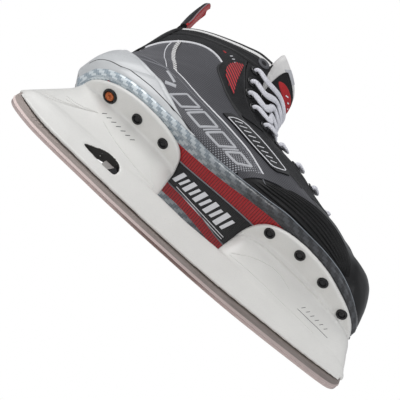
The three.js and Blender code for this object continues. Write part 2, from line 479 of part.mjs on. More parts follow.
// ---------------------------------------------------------------- boot shell
const sFace = pchip([0, 1, 2, 3, 4, 5, 6, 8, 12, 14], [.815, .82, .83, .845, .865, .885, .90, .915, .925, .93]);   // front edge of the facing
const sQuart = pchip([0, 1, 2, 3, 4, 5, 6, 8, 12, 14], [.62, .63, .65, .68, .71, .745, .77, .80, .815, .825]);        // seam between quarter and facing
const V_TOE = 14.0, V_SEAM = .06, V_COLLAR = 1.45, V_HEEL_BOTTOM = 7.3;
const sLow = (v) => v < V_HEEL_BOTTOM ? 0 : 0;
const QUARTER_ROWS = [V_COLLAR + .03, 2, 2.7, 3.3, 4, 4.6, 5.2, 5.7, 6.1, 6.6, 7, 7.4, 8, 8.6, 9.4, 10.3, 11.2, 12.2, 13.1, V_TOE - V_SEAM];
function sheet(vA, vB, nV, sA, sB, nS, side, off) {
  const g = [];
  for (let i = 0; i <= nV; i++) {
    const v = Array.isArray(vA) ? vA[i] : lerp(vA, vB, i / nV), row = [];
    const a = typeof sA === 'function' ? sA(v) : sA, b = typeof sB === 'function' ? sB(v) : sB;
    for (let j = 0; j <= nS; j++) {
      const e = j / nS, s = lerp(a, b, nS === 7 ? [0, .035, .09, .18, .32, .52, .76, 1][j] : e * e * .35 + e * .65);
      const p = boot(v, s, side, off);
      if (side < 0) p.y = Math.min(p.y, centreY(p.x) - GAP / 2); else p.y = Math.max(p.y, centreY(p.x) + GAP / 2);
      row.push(p);
    }
    g.push(row);
  }
  return g;
}
const dS = (v, mm) => mm / Math.hypot(FX(v) - HX(v), FZ(v) - HZ(v));
for (const [side, tag] of [[-1, 'right'], [1, 'left']]) {
  add(`quarter_${tag}`, shell(sheet(QUARTER_ROWS, 0, QUARTER_ROWS.length - 1, 0, (v) => sQuart(v) - dS(v, .3), 7, side, 0), sheet(QUARTER_ROWS, 0, QUARTER_ROWS.length - 1, 0, (v) => sQuart(v) - dS(v, .3), 7, side, -QUARTER_T)), 'charcoal');
  add(`collar_${tag}`, shell(sheet(0, V_COLLAR - .03, 4, 0, sFace, 10, side, 0), sheet(0, V_COLLAR - .03, 4, 0, sFace, 10, side, -QUARTER_T)), 'black_trim');
  let f = toManifold(shell(sheet(V_COLLAR + .03, V_TOE - V_SEAM, 15, (v) => sQuart(v) + dS(v, .3), sFace, 2, side, 0), sheet(V_COLLAR + .03, V_TOE - V_SEAM, 15, (v) => sQuart(v) + dS(v, .3), sFace, 2, side, -FACING_T)));
  let col = toManifold(solids[`collar_${tag}`]);
  for (const e of EYELETS) {
    const hole = alongNormal(new THREE.CylinderGeometry(EYELET_HOLE_R, EYELET_HOLE_R, 16, 8), e, side);
    f = f.subtract(toManifold(hole)); col = col.subtract(toManifold(hole));
  }
  add(`facing_${tag}`, fromManifold(f), 'black_trim');
  design.remove(design.children.find((m) => m.name === `collar_${tag}`));
  add(`collar_${tag}`, fromManifold(col), 'black_trim');
  EYELETS.forEach((e, i) => {
    const prof = [[2.35, -2.7], [2.35, 1.2], [4.3, 1.2], [4.6, .3], [2.95, .3], [2.95, -2.7], [2.35, -2.7]].map(([r, z]) => new THREE.Vector2(r, z));
    add(`eyelet_${tag}_${i + 1}`, alongNormal(new THREE.LatheGeometry(prof, 7), e, side), 'black_plastic');
  });
}
// toe cap: both sides and the top in one shell
{
  const grid = (off) => {
    const g = [];
    for (let i = 0; i <= 14; i++) {
      const v = lerp(V_TOE + V_SEAM, NV - .35, Math.pow(i / 14, .9)), row = [];
      const m = 9;
      for (let j = -m; j <= m; j++) {
        const s = 1 - Math.pow(Math.abs(j) / m, 1.25);
        const side = j < 0 ? -1 : 1;
        const tip = clamp((v - 19) / 2, 0, 1);
        const p = boot(v, s, side, -1.3 * tip);
        const q = boot(v, s, side, -3.0);
        if (off) {
          const c = new THREE.Vector3(lerp(HX(v), FX(v), .45), centreY(p.x), lerp(HZ(v), FZ(v), .45));
          c.x = Math.min(c.x, 262);
          const k = p.distanceTo(c);
          p.lerp(c, Math.min(.85, 3.0 / Math.max(k, 3.6)));
          p.lerp(q, 1 - clamp((v - 18) / 2, 0, 1));
        }
        if (v > 19.5) p.z = Math.max(p.z, soleLine(p.x) + 1.1);
        row.push(p);
      }
      g.push(row);
    }
    return g;
  };
  // close the tip with a last small loop of points
  add('toe_cap', shell(grid(0), grid(1)), 'black_trim');
}

// ---------------------------------------------------------------- heel cap over the quarters
{
  const sHigh = pchip([2.75, 3, 4, 5, 6, 7, 8, 9, 10, 11, 12, 12.6], [.035, .06, .16, .26, .33, .355, .35, .335, .27, .215, .155, .135]);
  const CAP_ROWS = [2.75, 3.3, 4, 4.6, 5.2, 5.7, 6.1, 6.6, 7, 7.4, 8, 8.6, 9.4, 10.3, 11.2, 12];
  const sLowCap = (v) => { if (v <= 5.75) return 0; const x = HX(v); return clamp((soleLine(x + 10) + LIP_H + 1.2 - HZ(v)) / (FZ(v) - HZ(v)), 0, 1); };
  let cap = null;
  for (const side of [-1, 1]) {
    const grid = (off) => {
      const g = [];
      for (let i = 0; i < CAP_ROWS.length; i++) {
        const v = CAP_ROWS[i], row = [];
        for (let j = 0; j <= 5; j++) {
          const a = sLowCap(v), b = Math.max(sHigh(v), a + .012), s = lerp(a, b, [0, .09, .24, .45, .72, 1][j]);
          const p = boot(v, s, side, off);
          if (a === 0 && j === 0) p.y = -side * .25;
          row.push(p);
        }
        g.push(row);
      }
      return g;
    };
    const m = toManifold(shell(grid(2.8), grid(1.3)));
    cap = cap ? cap.add(m) : m;
  }
  for (const side of [-1, 1]) {
    const b = (v) => sQuart(v) - dS(v, .3);
    cap = cap.subtract(toManifold(shell(sheet(QUARTER_ROWS, 0, QUARTER_ROWS.length - 1, 0, b, 7, side, .45), sheet(QUARTER_ROWS, 0, QUARTER_ROWS.length - 1, 0, b, 7, side, -QUARTER_T))));
  }
  add('heel_cap', fromManifold(cap), 'grey_shell');
}
// black strip up the back of the heel that carries the tendon guard
{
  const grid = (off) => {
    const g = [];
    for (let i = 0; i <= 6; i++) {
      const v = lerp(.02, 2.55, i / 6), row = [];
      for (let j = -4; j <= 4; j++) {
        const s = Math.abs(j) / 4 * lerp(.11, .07, i / 6), side = j < 0 ? -1 : 1;
        const p = boot(v, s, side, 0), n = new THREE.Vector3(-1, side * s * 9, .15).normalize();
        row.push(p.addScaledVector(n, off));
      }
      g.push(row);
    }
    return g;
  };
  add('heel_strip', shell(grid(2.6), grid(.9)), 'black_trim');
}

// ---------------------------------------------------------------- padding, board and footbed
for (const [side, tag] of [[-1, 'right'], [1, 'left']]) {
  const inner = (off) => sheet(.12, 5.5, 9, .02, (v) => sQuart(v) - dS(v, 2), 8, side, off);
  const A = inner(-QUARTER_T - 1.9), B = inner(-QUARTER_T - 5.0);
  for (const g of [A, B]) g.forEach((r) => r.forEach((p) => { if (side * p.y < .4) p.y = side * .4; }));
  add(`ankle_liner_${tag}`, shell(A, B), 'foam');
}
{
  const at = (loop, d, h) => offsetLoop(loop, d, (x) => soleLine(x) + h);
  add('insole_board', loopStack([at(skinAt[0], -QUARTER_T - 2.4, .3), at(skinAt[0], -QUARTER_T - 2.4, 2.6)]), 'board');
  const bed = (x) => 7.6 + 1.6 * Math.exp(-(((x - 45) / 22) ** 2)) * 0 + 1.2 * Math.exp(-(((x - 130) / 30) ** 2));
  add('footbed', loopStack([at(skinAt[0], -QUARTER_T - 3.0, 2.9), at(skinAt[5], -QUARTER_T - 4.8, 5.0), offsetLoop(skinAt[5], -QUARTER_T - 6.0, (x) => soleLine(x) + bed(x))]), 'foam');
}

// ---------------------------------------------------------------- tongue
const RIDGE = [[225, 128.5], [217, 132], [205, 136.5], [194, 141], [179, 149.5], [165, 157.5], [153, 165.5], [145.5, 176], [141.5, 190], [140, 204], [139.6, 218], [139.8, 233]];
const ridgeCurve = new THREE.CatmullRomCurve3(RIDGE.map(([x, z]) => new THREE.Vector3(x, 0, z)), false, 'centripetal');
function ridgeAt(u) {   // u 0 at the toe end, 1 at the top
  const p = ridgeCurve.getPointAt(clamp(u, 0, 1)), t = ridgeCurve.getTangentAt(clamp(u, 0, 1));
  return { p, n: new THREE.Vector3(t.z, 0, -t.x) };
}
const tongueHalf = pchip([0, .3, .5, .6, .78, .86, .93, 1], [16.5, 19, 20.8, 22.3, 24.5, 26, 33, 37]);
const tongueDepth = pchip([0, .3, .5, .62, .75, .86, 1], [11, 16, 22, 29, 32, 32, 31]);
function tonguePoint(u, y, off) {
  const { p, n } = ridgeAt(u), W = tongueHalf(u), q = Math.abs(y) / W;
  const e = 1e-2, f = (k) => Math.pow(Math.min(k, 1.02), 2.3);
  const slope = tongueDepth(u) * (f(q + e) - f(q)) / e / W;     // tilt of the surface across the tongue
  const nn = n.clone().multiplyScalar(1); nn.y = Math.sign(y || 1) * slope; nn.normalize();
  const P = p.clone().addScaledVector(n, -tongueDepth(u) * f(q)); P.y = y + centreY(P.x);
  return P.addScaledVector(nn, off);
}
function ridgeParamAtZ(z) { let a = 0, b = 1; for (let i = 0; i < 30; i++) { const m = (a + b) / 2; if (ridgeAt(m).p.z < z) a = m; else b = m; } return (a + b) / 2; }
const U_SPLIT = ridgeParamAtZ(TONGUE_SPLIT_Z), U_GAP = ridgeParamAtZ(TONGUE_SPLIT_Z + 1.6);
function tongueShell(u0, u1, n, offOut, offIn, yf = 1, m = 12) {
  const grid = (off, edge) => {
    const g = [];
    for (let i = 0; i <= n; i++) {
      const u = lerp(u0, u1, i / n), row = [];
      for (let j = 0; j <= m; j++) {
        const q = 2 * j / m - 1, y = q * tongueHalf(u) * yf;
        row.push(tonguePoint(u, y, off * (edge ? 1 - .55 * Math.pow(Math.abs(q), 3) : 1)));
      }
      g.push(row);
    }
    return g;
  };
  return shell(grid(offOut, false), grid(offIn, true));
}
add('tongue', tongueShell(.0, U_SPLIT, 11, -1.3, -7.2, 1, 8), 'felt');
add('tongue_flap', tongueShell(U_GAP, 1, 3, -1.2, -8.2, 1, 8), 'felt');
add('tongue_cover', tongueShell(.01, U_SPLIT - .002, 11, 0, -.85, .93, 8), 'black_trim');
add('tongue_badge', tongueShell(U_GAP + .004, .965, 2, .6, -.85, .78, 8), 'red');

// ---------------------------------------------------------------- tendon guard
{
  const back = pchip([206.6, 213.5, 226, 239, 251, 258, 262], [28.9, 28.0, 26.6, 25.6, 25.3, 26.2, 28.6]);
  const thick = pchip([206.6, 213.5, 226, 239, 251, 258, 262], [7.6, 8.4, 9, 9, 8.2, 6.6, 3.2]);
  const half = pchip([206.6, 213.5, 226, 239, 251, 257, 260, 262], [11.8, 12.7, 13.5, 13.5, 12.3, 10, 7.6, 4.2]);
  const grid = (front) => {
    const g = [];
    for (const z of [206.6, 213, 220, 228, 236, 244, 251, 256, 259.5, 262]) {
      const row = [];
      for (let j = 0; j <= 8; j++) {
        const q = 2 * j / 8 - 1, bow = 3.2 * q * q, e = 1 - .55 * Math.pow(Math.abs(q), 3);
        row.push(new THREE.Vector3(back(z) + bow + (front ? thick(z) * e : 0) + (front ? 0 : thick(z) * (1 - e) * .5) - (front ? thick(z) * (1 - e) * -.5 : 0), q * half(z), z));
      }
      g.push(row);
    }
    return g;
  };
  add('tendon_guard', shell(grid(false), grid(true)), 'black_trim');
}

// ---------------------------------------------------------------- laces: one lace, straight bars across the tongue, tucked in at both ends
function tube(points, r, sides) {
  const n = points.length, T = [], pts = [], tris = [];
  for (let i = 0; i < n; i++) T.push(points[Math.min(n - 1, i + 1)].clone().sub(points[Math.max(0, i - 1)]).normalize());
  let N = new THREE.Vector3(0, 1, 0).cross(T[0]); if (N.length() < .1) N = new THREE.Vector3(1, 0, 0).cross(T[0]); N.normalize();
  for (let i = 0; i < n; i++) {
    N = N.clone().addScaledVector(T[i], -N.dot(T[i])).normalize();
    const B = new THREE.Vector3().crossVectors(T[i], N);
    for (let k = 0; k < sides; k++) { const a = 2 * Math.PI * k / sides; pts.push(points[i].clone().addScaledVector(N, r * Math.cos(a)).addScaledVector(B, r * Math.sin(a))); }
  }
  for (let i = 0; i < n - 1; i++) for (let k = 0; k < sides; k++) {
    const a = i * sides + k, b = i * sides + (k + 1) % sides, c = (i + 1) * sides + (k + 1) % sides, d = (i + 1) * sides + k;
    tris.push(a, b, c, a, c, d);
  }
  for (let k = 1; k < sides - 1; k++) { tris.push(0, k + 1, k); const o = (n - 1) * sides; tris.push(o, o + k, o + k + 1); }
  return cleanGeometry(fromGrid(pts, tris));
}
{
  const keys = [];
  const at = (e, side, off) => { const { p, n } = eyeletFrame(e, side); return p.clone().addScaledVector(n, off); };
  const bar = (e, k, from) => {
    const u = BAR_U[k], a = from, b = -from, list = [];
    const W = tongueHalf(u);
    const over = (side, q, off) => tonguePoint(u, side * q * W, off);
    const edge = (side, d, o) => boot(e.v, sFace(e.v) + dS(e.v, d), side, o);
    const rise = (side) => at(e, side, 3.3).lerp(edge(side, -1.0, 3.1), .16);
    list.push(at(e, a, -4.9), at(e, a, -1.5), at(e, a, 1.7), rise(a), edge(a, -1.2, 3.1));
    for (const q of [.66, .42, .2]) list.push(over(a, q, q > .6 ? 3.1 : 2.6));
    list.push(over(a, 0, 2.5));
    for (const q of [.2, .42, .66]) list.push(over(b, q, q > .6 ? 3.1 : 2.6));
    list.push(edge(b, -1.2, 3.1), rise(b), at(e, b, 1.7), at(e, b, -1.5), at(e, b, -4.9));
    return list;
  };
  let from = 1;
  for (let k = EYELETS.length - 1; k >= 1; k--) { keys.push(...bar(EYELETS[k], k, from)); from = -from; }
  const curve = new THREE.CatmullRomCurve3(keys, false, 'centripetal');
  const pts = []; const M = keys.length - 1;
  for (let i = 0; i <= M; i++) pts.push(curve.getPoint(i / M));
  add('lace', tube(pts, LACE_R, 5), 'lace');
}

// ---------------------------------------------------------------- origin at the middle of the base
{
  const box = new THREE.Box3().setFromObject(design);
  design.position.set(-(box.min.x + box.max.x) / 2, -(box.min.y + box.max.y) / 2, -box.min.z);
}
export default skate;
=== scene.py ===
import bpy
import bmesh
import math
import numpy as np
from mathutils import Vector, Matrix, Quaternion
from mathutils.geometry import delaunay_2d_cdt


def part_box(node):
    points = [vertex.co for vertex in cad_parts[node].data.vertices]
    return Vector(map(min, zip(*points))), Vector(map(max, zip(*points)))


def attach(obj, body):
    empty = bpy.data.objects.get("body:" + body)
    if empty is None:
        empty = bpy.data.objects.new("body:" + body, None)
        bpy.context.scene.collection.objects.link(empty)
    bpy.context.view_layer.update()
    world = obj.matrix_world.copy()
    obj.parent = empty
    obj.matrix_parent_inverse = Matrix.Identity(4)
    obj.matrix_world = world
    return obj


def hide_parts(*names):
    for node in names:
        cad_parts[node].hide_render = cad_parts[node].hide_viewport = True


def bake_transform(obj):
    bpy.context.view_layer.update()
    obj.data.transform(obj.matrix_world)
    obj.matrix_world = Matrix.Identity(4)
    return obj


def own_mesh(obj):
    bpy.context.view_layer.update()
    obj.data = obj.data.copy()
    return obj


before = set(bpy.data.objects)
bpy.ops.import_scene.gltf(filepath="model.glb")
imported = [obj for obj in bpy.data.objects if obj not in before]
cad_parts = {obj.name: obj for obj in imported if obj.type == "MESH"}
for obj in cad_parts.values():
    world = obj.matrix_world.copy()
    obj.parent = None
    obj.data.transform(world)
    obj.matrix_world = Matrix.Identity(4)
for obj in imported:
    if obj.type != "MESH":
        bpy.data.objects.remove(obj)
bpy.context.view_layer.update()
NODES = set(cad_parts)

# ------------------------------------------------------------------ frame
# The boot is described in millimetres with the blade heel at x = 0; SHIFT takes it to the row frame.
SHIFT = np.array([-142.999997, -1.060654, 1.5])


def row(p):
    return (np.asarray(p, float) + SHIFT) / 1000.0


# ------------------------------------------------------------------ interpolation
class Pchip:
    """monotone cubic interpolation, y may have several columns"""

    def __init__(self, x, y):
        x, y = np.asarray(x, float), np.asarray(y, float)
        one = y.ndim == 1
        if one:
            y = y[:, None]
        h, d = np.diff(x), np.diff(y, axis=0) / np.diff(x)[:, None]
        m = np.zeros_like(y)
        for i in range(1, len(x) - 1):
            w1, w2 = 2 * h[i] + h[i - 1], h[i] + 2 * h[i - 1]
            ok = d[i - 1] * d[i] > 0
            m[i, ok] = (w1 + w2) / (w1 / d[i - 1, ok] + w2 / d[i, ok])

        def end(h0, h1, d0, d1):
            s = ((2 * h0 + h1) * d0 - h0 * d1) / (h0 + h1)
            s = np.where(s * d0 <= 0, 0, s)
            return np.where((d0 * d1 <= 0) & (abs(s) > 3 * abs(d0)), 3 * d0, s)

        if len(x) > 2:
            m[0], m[-1] = end(h[0], h[1], d[0], d[1]), end(h[-1], h[-2], d[-1], d[-2])
        else:
            m[0] = m[-1] = d[0]
        self.x, self.y, self.m, self.h, self.one = x, y, m, h, one

    def __call__(self, t):
        t = np.clip(np.asarray(t, float), self.x[0], self.x[-1])
        i = np.clip(np.searchsorted(self.x, t, side="right") - 1, 0, len(self.x) - 2)
        h = self.h[i][..., None]
        q = ((t - self.x[i]) / self.h[i])[..., None]
        q2, q3 = q * q, q * q * q
        r = (2 * q3 - 3 * q2 + 1) * self.y[i] + (q3 - 2 * q2 + q) * h * self.m[i] + (-2 * q3 + 3 * q2) * self.y[i + 1] + (q3 - q2) * h * self.m[i + 1]
        return r[..., 0] if self.one else r


def lerp(a, b, t):
    return a + (b - a) * t


# ------------------------------------------------------------------ master surface of the boot
S_COL = [0, .04, .12, .25, .40, .55, .70, .80, .88, .95, 1]
ROWS = np.array([
    [29, 203, 125, 213, 0, 6, 13, 20, 26, 31, 34.5, 34, 30, 20, 0],
    [26.8, 188, 127, 200, 0, 8, 15.5, 23, 28.5, 32.5, 34.5, 33.5, 29.5, 19.5, 0],
    [26, 166, 131, 184, 0, 9.3, 17.5, 26, 32, 35.5, 35.5, 32.5, 28, 18, 0],
    [24.5, 142, 138, 172, 0, 10, 17.5, 26, 33, 36.5, 35, 31.5, 27, 17.5, 0],
    [18.5, 121, 146, 165, 0, 10.2, 18, 26.5, 33, 36, 33.5, 29.5, 25, 16, 0],
    [12.6, 102, 154, 160, 0, 13.5, 21.5, 29, 34.2, 35.8, 33, 29, 24.5, 15.5, 0],
    [12.0, 86, 163, 156.5, 0, 17.5, 25.5, 31.5, 35, 35.5, 32.5, 28.5, 24, 15, 0],
    [16, 78, 171, 153, 0, 19, 27, 32, 34.5, 35, 32.5, 28.5, 24, 15, 0],
    [22, 76, 177, 151, 11, 21.5, 27.5, 32, 34.5, 35, 32.5, 28.5, 24, 15, 0],
    [30, 75.5, 183, 148.5, 19, 25.5, 30, 33, 35, 35.5, 33, 29, 24.5, 15.5, 0],
    [45, 75, 190, 145.5, 26, 29, 31.5, 34, 36, 36.5, 34, 30, 25, 16, 0],
    [65, 74, 198, 142, 28, 30.5, 33, 35.5, 37.5, 38, 35, 30.5, 25.5, 16, 0],
    [90, 72, 207, 137, 28, 31, 34, 37, 39, 39, 35, 30, 24.5, 15.5, 0],
    [115, 70, 217, 130.5, 27.5, 31.5, 35.5, 39, 40.8, 39.5, 34.5, 29.5, 24, 15, 0],
    [140, 67.2, 228, 125, 28.5, 33.5, 38, 41, 42.2, 40, 34.5, 29.5, 24, 15.5, 0],
    [165, 64.7, 238, 120.5, 32.5, 36.5, 40, 42.5, 43.5, 41, 35.5, 30, 24, 15.5, 0],
    [190, 63, 248, 116.5, 37, 39.5, 41.5, 43, 42.8, 39.5, 33, 28, 22.5, 14.5, 0],
    [215, 62, 257, 112.5, 38, 39.5, 41, 41.5, 40, 36.5, 30, 25, 20, 13, 0],
    [235, 61.7, 265.5, 109, 36, 37, 37.5, 38, 37, 34.3, 29, 24.5, 19.5, 12.3, 0],
    [250, 61.8, 271, 102.5, 31, 32, 33, 33.5, 32.5, 30.5, 26, 22, 17.5, 11, 0],
    [262, 62.2, 275.2, 93.5, 24.5, 25, 26.5, 27, 26.5, 24.5, 21, 17.5, 14, 9, 0],
    [271, 63, 278, 84, 17, 17.5, 18.5, 19, 18.5, 17, 14.5, 12, 9.5, 6, 0],
    [276.8, 64.5, 279.3, 75, 8.5, 8.5, 9, 9.5, 9, 8.5, 7.3, 6, 4.8, 3, 0],
    [279.3, 67.3, 279.7, 69, 0.6, .6, .6, .6, .6, .6, .5, .5, .4, .3, 0],
])
NV = len(ROWS) - 1
LINES = Pchip(np.arange(NV + 1), ROWS[:, :4])
_VG = np.linspace(0, NV, NV * 40 + 1)
_SG = np.linspace(0, 1, 401)
_K = Pchip(np.arange(NV + 1), ROWS[:, 4:])(_VG)
W_TABLE = Pchip(S_COL, _K.T)(_SG).T        # half width on a fine (v, s) table


def half_width(v, s):
    v, s = np.broadcast_arrays(np.clip(v, 0, NV), np.clip(s, 0, 1))
    a, b = v * 40, s * 400
    i, j = np.minimum(a.astype(int), NV * 40 - 1), np.minimum(b.astype(int), 399)
    p, q = a - i, b - j
    W = W_TABLE
    return (1 - p) * ((1 - q) * W[i, j] + q * W[i, j + 1]) + p * ((1 - q) * W[i + 1, j] + q * W[i + 1, j + 1])


def centre_y(x):
    x = np.asarray(x, float)
    return np.where(x > 150, 6 * ((x - 150) / 130) ** 2, 0.0)


def skin(v, s, side):
    v, s, side = np.broadcast_arrays(np.clip(v, 0, NV), np.clip(s, 0, 1), side)
    L = LINES(v)
    x, z = lerp(L[..., 0], L[..., 2], s), lerp(L[..., 1], L[..., 3], s)
    return np.stack([x, centre_y(x) + side * half_width(v, s), z], -1)


def skin_normal(v, s, side):
    v, s, side = np.broadcast_arrays(np.clip(v, 0, NV), np.clip(s, 0, 1), side)
    a = skin(v + .12, s, side) - skin(v - .12, s, side)
    b = skin(v, s + .012, side) - skin(v, s - .012, side)
    n = np.cross(a, b)
    n /= np.linalg.norm(n, axis=-1, keepdims=True) + 1e-12
    L = LINES(v)
    mx = lerp(L[..., 0], L[..., 2], .5)
    c = np.stack([mx, centre_y(mx), lerp(L[..., 1], L[..., 3], .5)], -1)
    flip = np.sum(n * (skin(v, s, side) - c), -1) < 0
    return np.where(flip[..., None], -n, n)


def boot(v, s, side, off=0.0):
    p = skin(v, s, side)
    o = np.broadcast_to(np.asarray(off, float), p.shape[:-1])
    if np.all(o == 0):
        return p
    return p + skin_normal(v, s, side) * o[..., None]


SOLE = Pchip([10, 40, 100, 140, 180, 235, 280], [76.2, 75.0, 71.2, 67.2, 63.6, 61.6, 62.2])
_VN = np.linspace(0, NV, 921)
_LN = LINES(_VN)


def locate(x, z):
    """(v, s) of points of the side view, the widest place of the boot there"""
    x, z = np.atleast_1d(np.asarray(x, float)), np.atleast_1d(np.asarray(z, float))
    bv, bs, bw = np.full(len(x), np.nan), np.full(len(x), np.nan), np.full(len(x), -1.0)
    for k in range(len(x)):
        dx, dz = _LN[:, 2] - _LN[:, 0], _LN[:, 3] - _LN[:, 1]
        f = dx * (z[k] - _LN[:, 1]) - dz * (x[k] - _LN[:, 0])
        for i in np.nonzero(f[:-1] * f[1:] <= 0)[0]:
            t = f[i] / (f[i] - f[i + 1] + 1e-15)
            v = lerp(_VN[i], _VN[i + 1], t)
            L = LINES(np.array(v))
            d = L[2:] - L[:2]
            s = ((x[k] - L[0]) * d[0] + (z[k] - L[1]) * d[1]) / (d @ d)
            if -.01 <= s <= 1.01:
                w = float(half_width(np.array(v), np.array(np.clip(s, 0, 1))))
                if w > bw[k]:
                    bv[k], bs[k], bw[k] = v, np.clip(s, 0, 1), w
    return bv, bs


# ------------------------------------------------------------------ mesh helpers
def new_obj(name, verts, faces, mats=(), mat_idx=None, uv=None, smooth=True, body="boot"):
    me = bpy.data.meshes.new(name)
    me.from_pydata([tuple(p) for p in row(verts)], [], [tuple(int(i) for i in f) for f in faces])
    for m in mats:
        me.materials.append(m)
    if mat_idx is not None:
        me.polygons.foreach_set("material_index", np.asarray(mat_idx, np.int32))
    if uv is not None:
        lay = me.uv_layers.new(name="mm")
        loops = np.empty(len(me.loops), np.int32)
        me.loops.foreach_get("vertex_index", loops)
        lay.data.foreach_set("uv", np.asarray(uv, float)[loops].ravel())
    me.validate()
    if smooth:
        me.shade_smooth()
    ob = bpy.data.objects.new(name, me)
    bpy.context.scene.collection.objects.link(ob)
    if body:
        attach(ob, body)
    return ob


def fix_normals(ob, sharp=35):
    bm = bmesh.new()
    bm.from_mesh(ob.data)
    bmesh.ops.remove_doubles(bm, verts=bm.verts, dist=1e-6)
    bmesh.ops.dissolve_degenerate(bm, edges=bm.edges, dist=1e-7)
    bmesh.ops.recalc_face_normals(bm, faces=bm.faces)
    for e in bm.edges:
        if len(e.link_faces) == 2:
            e.smooth = e.calc_face_angle(0) < math.radians(sharp)
    for f in bm.faces:
        f.smooth = True
    bm.to_mesh(ob.data)
    bm.free()
    return ob


def grid_faces(nu, nv, base=0, closed_u=False, closed_v=False, flip=False):
    out = []
    for i in range(nu if closed_u else nu - 1):
        for j in range(nv if closed_v else nv - 1):
            a, b = base + i * nv + j, base + ((i + 1) % nu) * nv + j
            c, d = base + ((i + 1) % nu) * nv + (j + 1) % nv, base + i * nv + (j + 1) % nv
            out.append((a, d, c, b) if flip else (a, b, c, d))
    return out


def shell_obj(name, outer, inner, uv, mats, rim=None, body="boot", sharp=50):
    """closed shell between two grids [nu, nv, 3]; material 0 outside, 1 inside, 2 on the rim"""
    nu, nv = outer.shape[:2]
    n = nu * nv
    V = np.concatenate([outer.reshape(-1, 3), inner.reshape(-1, 3)])
    F = grid_faces(nu, nv)
    M = [0] * len(F)
    G = grid_faces(nu, nv, n, flip=True)
    F += G
    M += [min(1, len(mats) - 1)] * len(G)
    k = len(F)
    for i in range(nu - 1):
        F += [(i * nv, n + i * nv, n + (i + 1) * nv, (i + 1) * nv), (i * nv + nv - 1, (i + 1) * nv + nv - 1, n + (i + 1) * nv + nv - 1, n + i * nv + nv - 1)]
    for j in range(nv - 1):
        F += [(j, j + 1, n + j + 1, n + j), ((nu - 1) * nv + j, n + (nu - 1) * nv + j, n + (nu - 1) * nv + j + 1, (nu - 1) * nv + j + 1)]
    M += [min(2, len(mats) - 1) if rim is None else rim] * (len(F) - k)
    U = np.concatenate([uv.reshape(-1, 2)] * 2)
    ob = new_obj(name, V, F, mats, M, U, body=body)
    return fix_normals(ob, sharp)


def arc(P, axis):
    d = np.linalg.norm(np.diff(P, axis=axis), axis=-1)
    c = np.cumsum(d, axis=axis)
    z = np.zeros_like(np.take(c, [0], axis=axis))
    return np.concatenate([z, c], axis=axis)


def clustered(n, ends, span):
    """0..1 with extra stations close to both ends, `ends` in mm on a length `span`"""
    t = list(np.linspace(0, 1, n))
    for e in ends:
        t += [e / span, 1 - e / span]
    t = sorted(set(round(float(x), 6) for x in t if 0 <= x <= 1))
    return np.array(t)


def border_drop(P, edge, sides="abcd"):
    """how far a rounded edge of radius `edge` falls below the face, from the distance to the border"""
    au, av = arc(P, 0), arc(P, 1)
    d = np.full(P.shape[:2], 1e9)
    if "a" in sides:
        d = np.minimum(d, au)
    if "b" in sides:
        d = np.minimum(d, au[-1:] - au)
    if "c" in sides:
        d = np.minimum(d, av)
    if "d" in sides:
        d = np.minimum(d, av[:, -1:] - av)
    q = np.clip(1 - d / edge, 0, 1)
    return edge * (1 - np.sqrt(np.clip(1 - q * q, 0, 1))), d


def panel(name, v0, v1, slo, shi, side, off, thick, nv, ns, mats, edge=.9, sides="abcd", body="boot", relief=None, span=(120, 80), ext=None):
    """a shell panel of the boot between two slices and two s limits (numbers or functions of v)"""
    tv, ts = clustered(nv, (.12, .35, .7, 1.1), span[0]), clustered(ns, (.12, .35, .7, 1.1), span[1])
    v = lerp(v0, v1, tv)[:, None]
    lo = slo(v[:, 0]) if callable(slo) else np.full(len(tv), slo)
    hi = shi(v[:, 0]) if callable(shi) else np.full(len(tv), shi)
    s = lerp(lo[:, None], hi[:, None], ts[None, :])
    v = np.broadcast_to(v, s.shape)
    P = skin(v, s, side)
    N = skin_normal(v, s, side)
    drop, d = border_drop(P, edge, sides)
    o = off - drop
    if relief is not None:
        o = o + relief(v, s, P, d)
    uv = np.stack([arc(P, 0), arc(P, 1)], -1)
    outer, inner = P + N * o[..., None], P + N * (off - thick)
    for g in (outer, inner):
        y = g[..., 1] - centre_y(g[..., 0])
        g[..., 1] = centre_y(g[..., 0]) + np.where(side * y < .15, side * .15, y)
    ob = shell_obj(name, outer, inner, np.stack([P[..., 0], P[..., 2]], -1) if ext == "xz" else uv, mats, body=body)
    return ob


def frames_along(P):
    T = np.gradient(P, axis=0)
    return T / (np.linalg.norm(T, axis=1, keepdims=True) + 1e-12)


def resample(P, step):
    P = np.asarray(P, float)
    d = np.concatenate([[0], np.cumsum(np.linalg.norm(np.diff(P, axis=0), axis=1))])
    n = max(2, int(round(d[-1] / step)) + 1)
    t = np.linspace(0, d[-1], n)
    return np.stack([np.interp(t, d, P[:, k]) for k in range(P.shape[1])], 1)


def smooth_path(P, step=2.0, rounds=2):
    """rounded polyline: Chaikin corner cutting, then even stations"""
    P = np.asarray(P, float)
    for _ in range(rounds):
        Q = [P[0]]
        for a, b in zip(P[:-1], P[1:]):
            Q += [lerp(a, b, .25), lerp(a, b, .75)]
        Q.append(P[-1])
        P = np.array(Q)
    return resample(P, step)


def on_skin(xz, side, off=0.0):
    xz = np.asarray(xz, float)
    v, s = locate(xz[:, 0], xz[:, 1])
    ok = ~np.isnan(v)
    v, s = v[ok], s[ok]
    return skin(v, s, side) + skin_normal(v, s, side) * off, skin_normal(v, s, side)


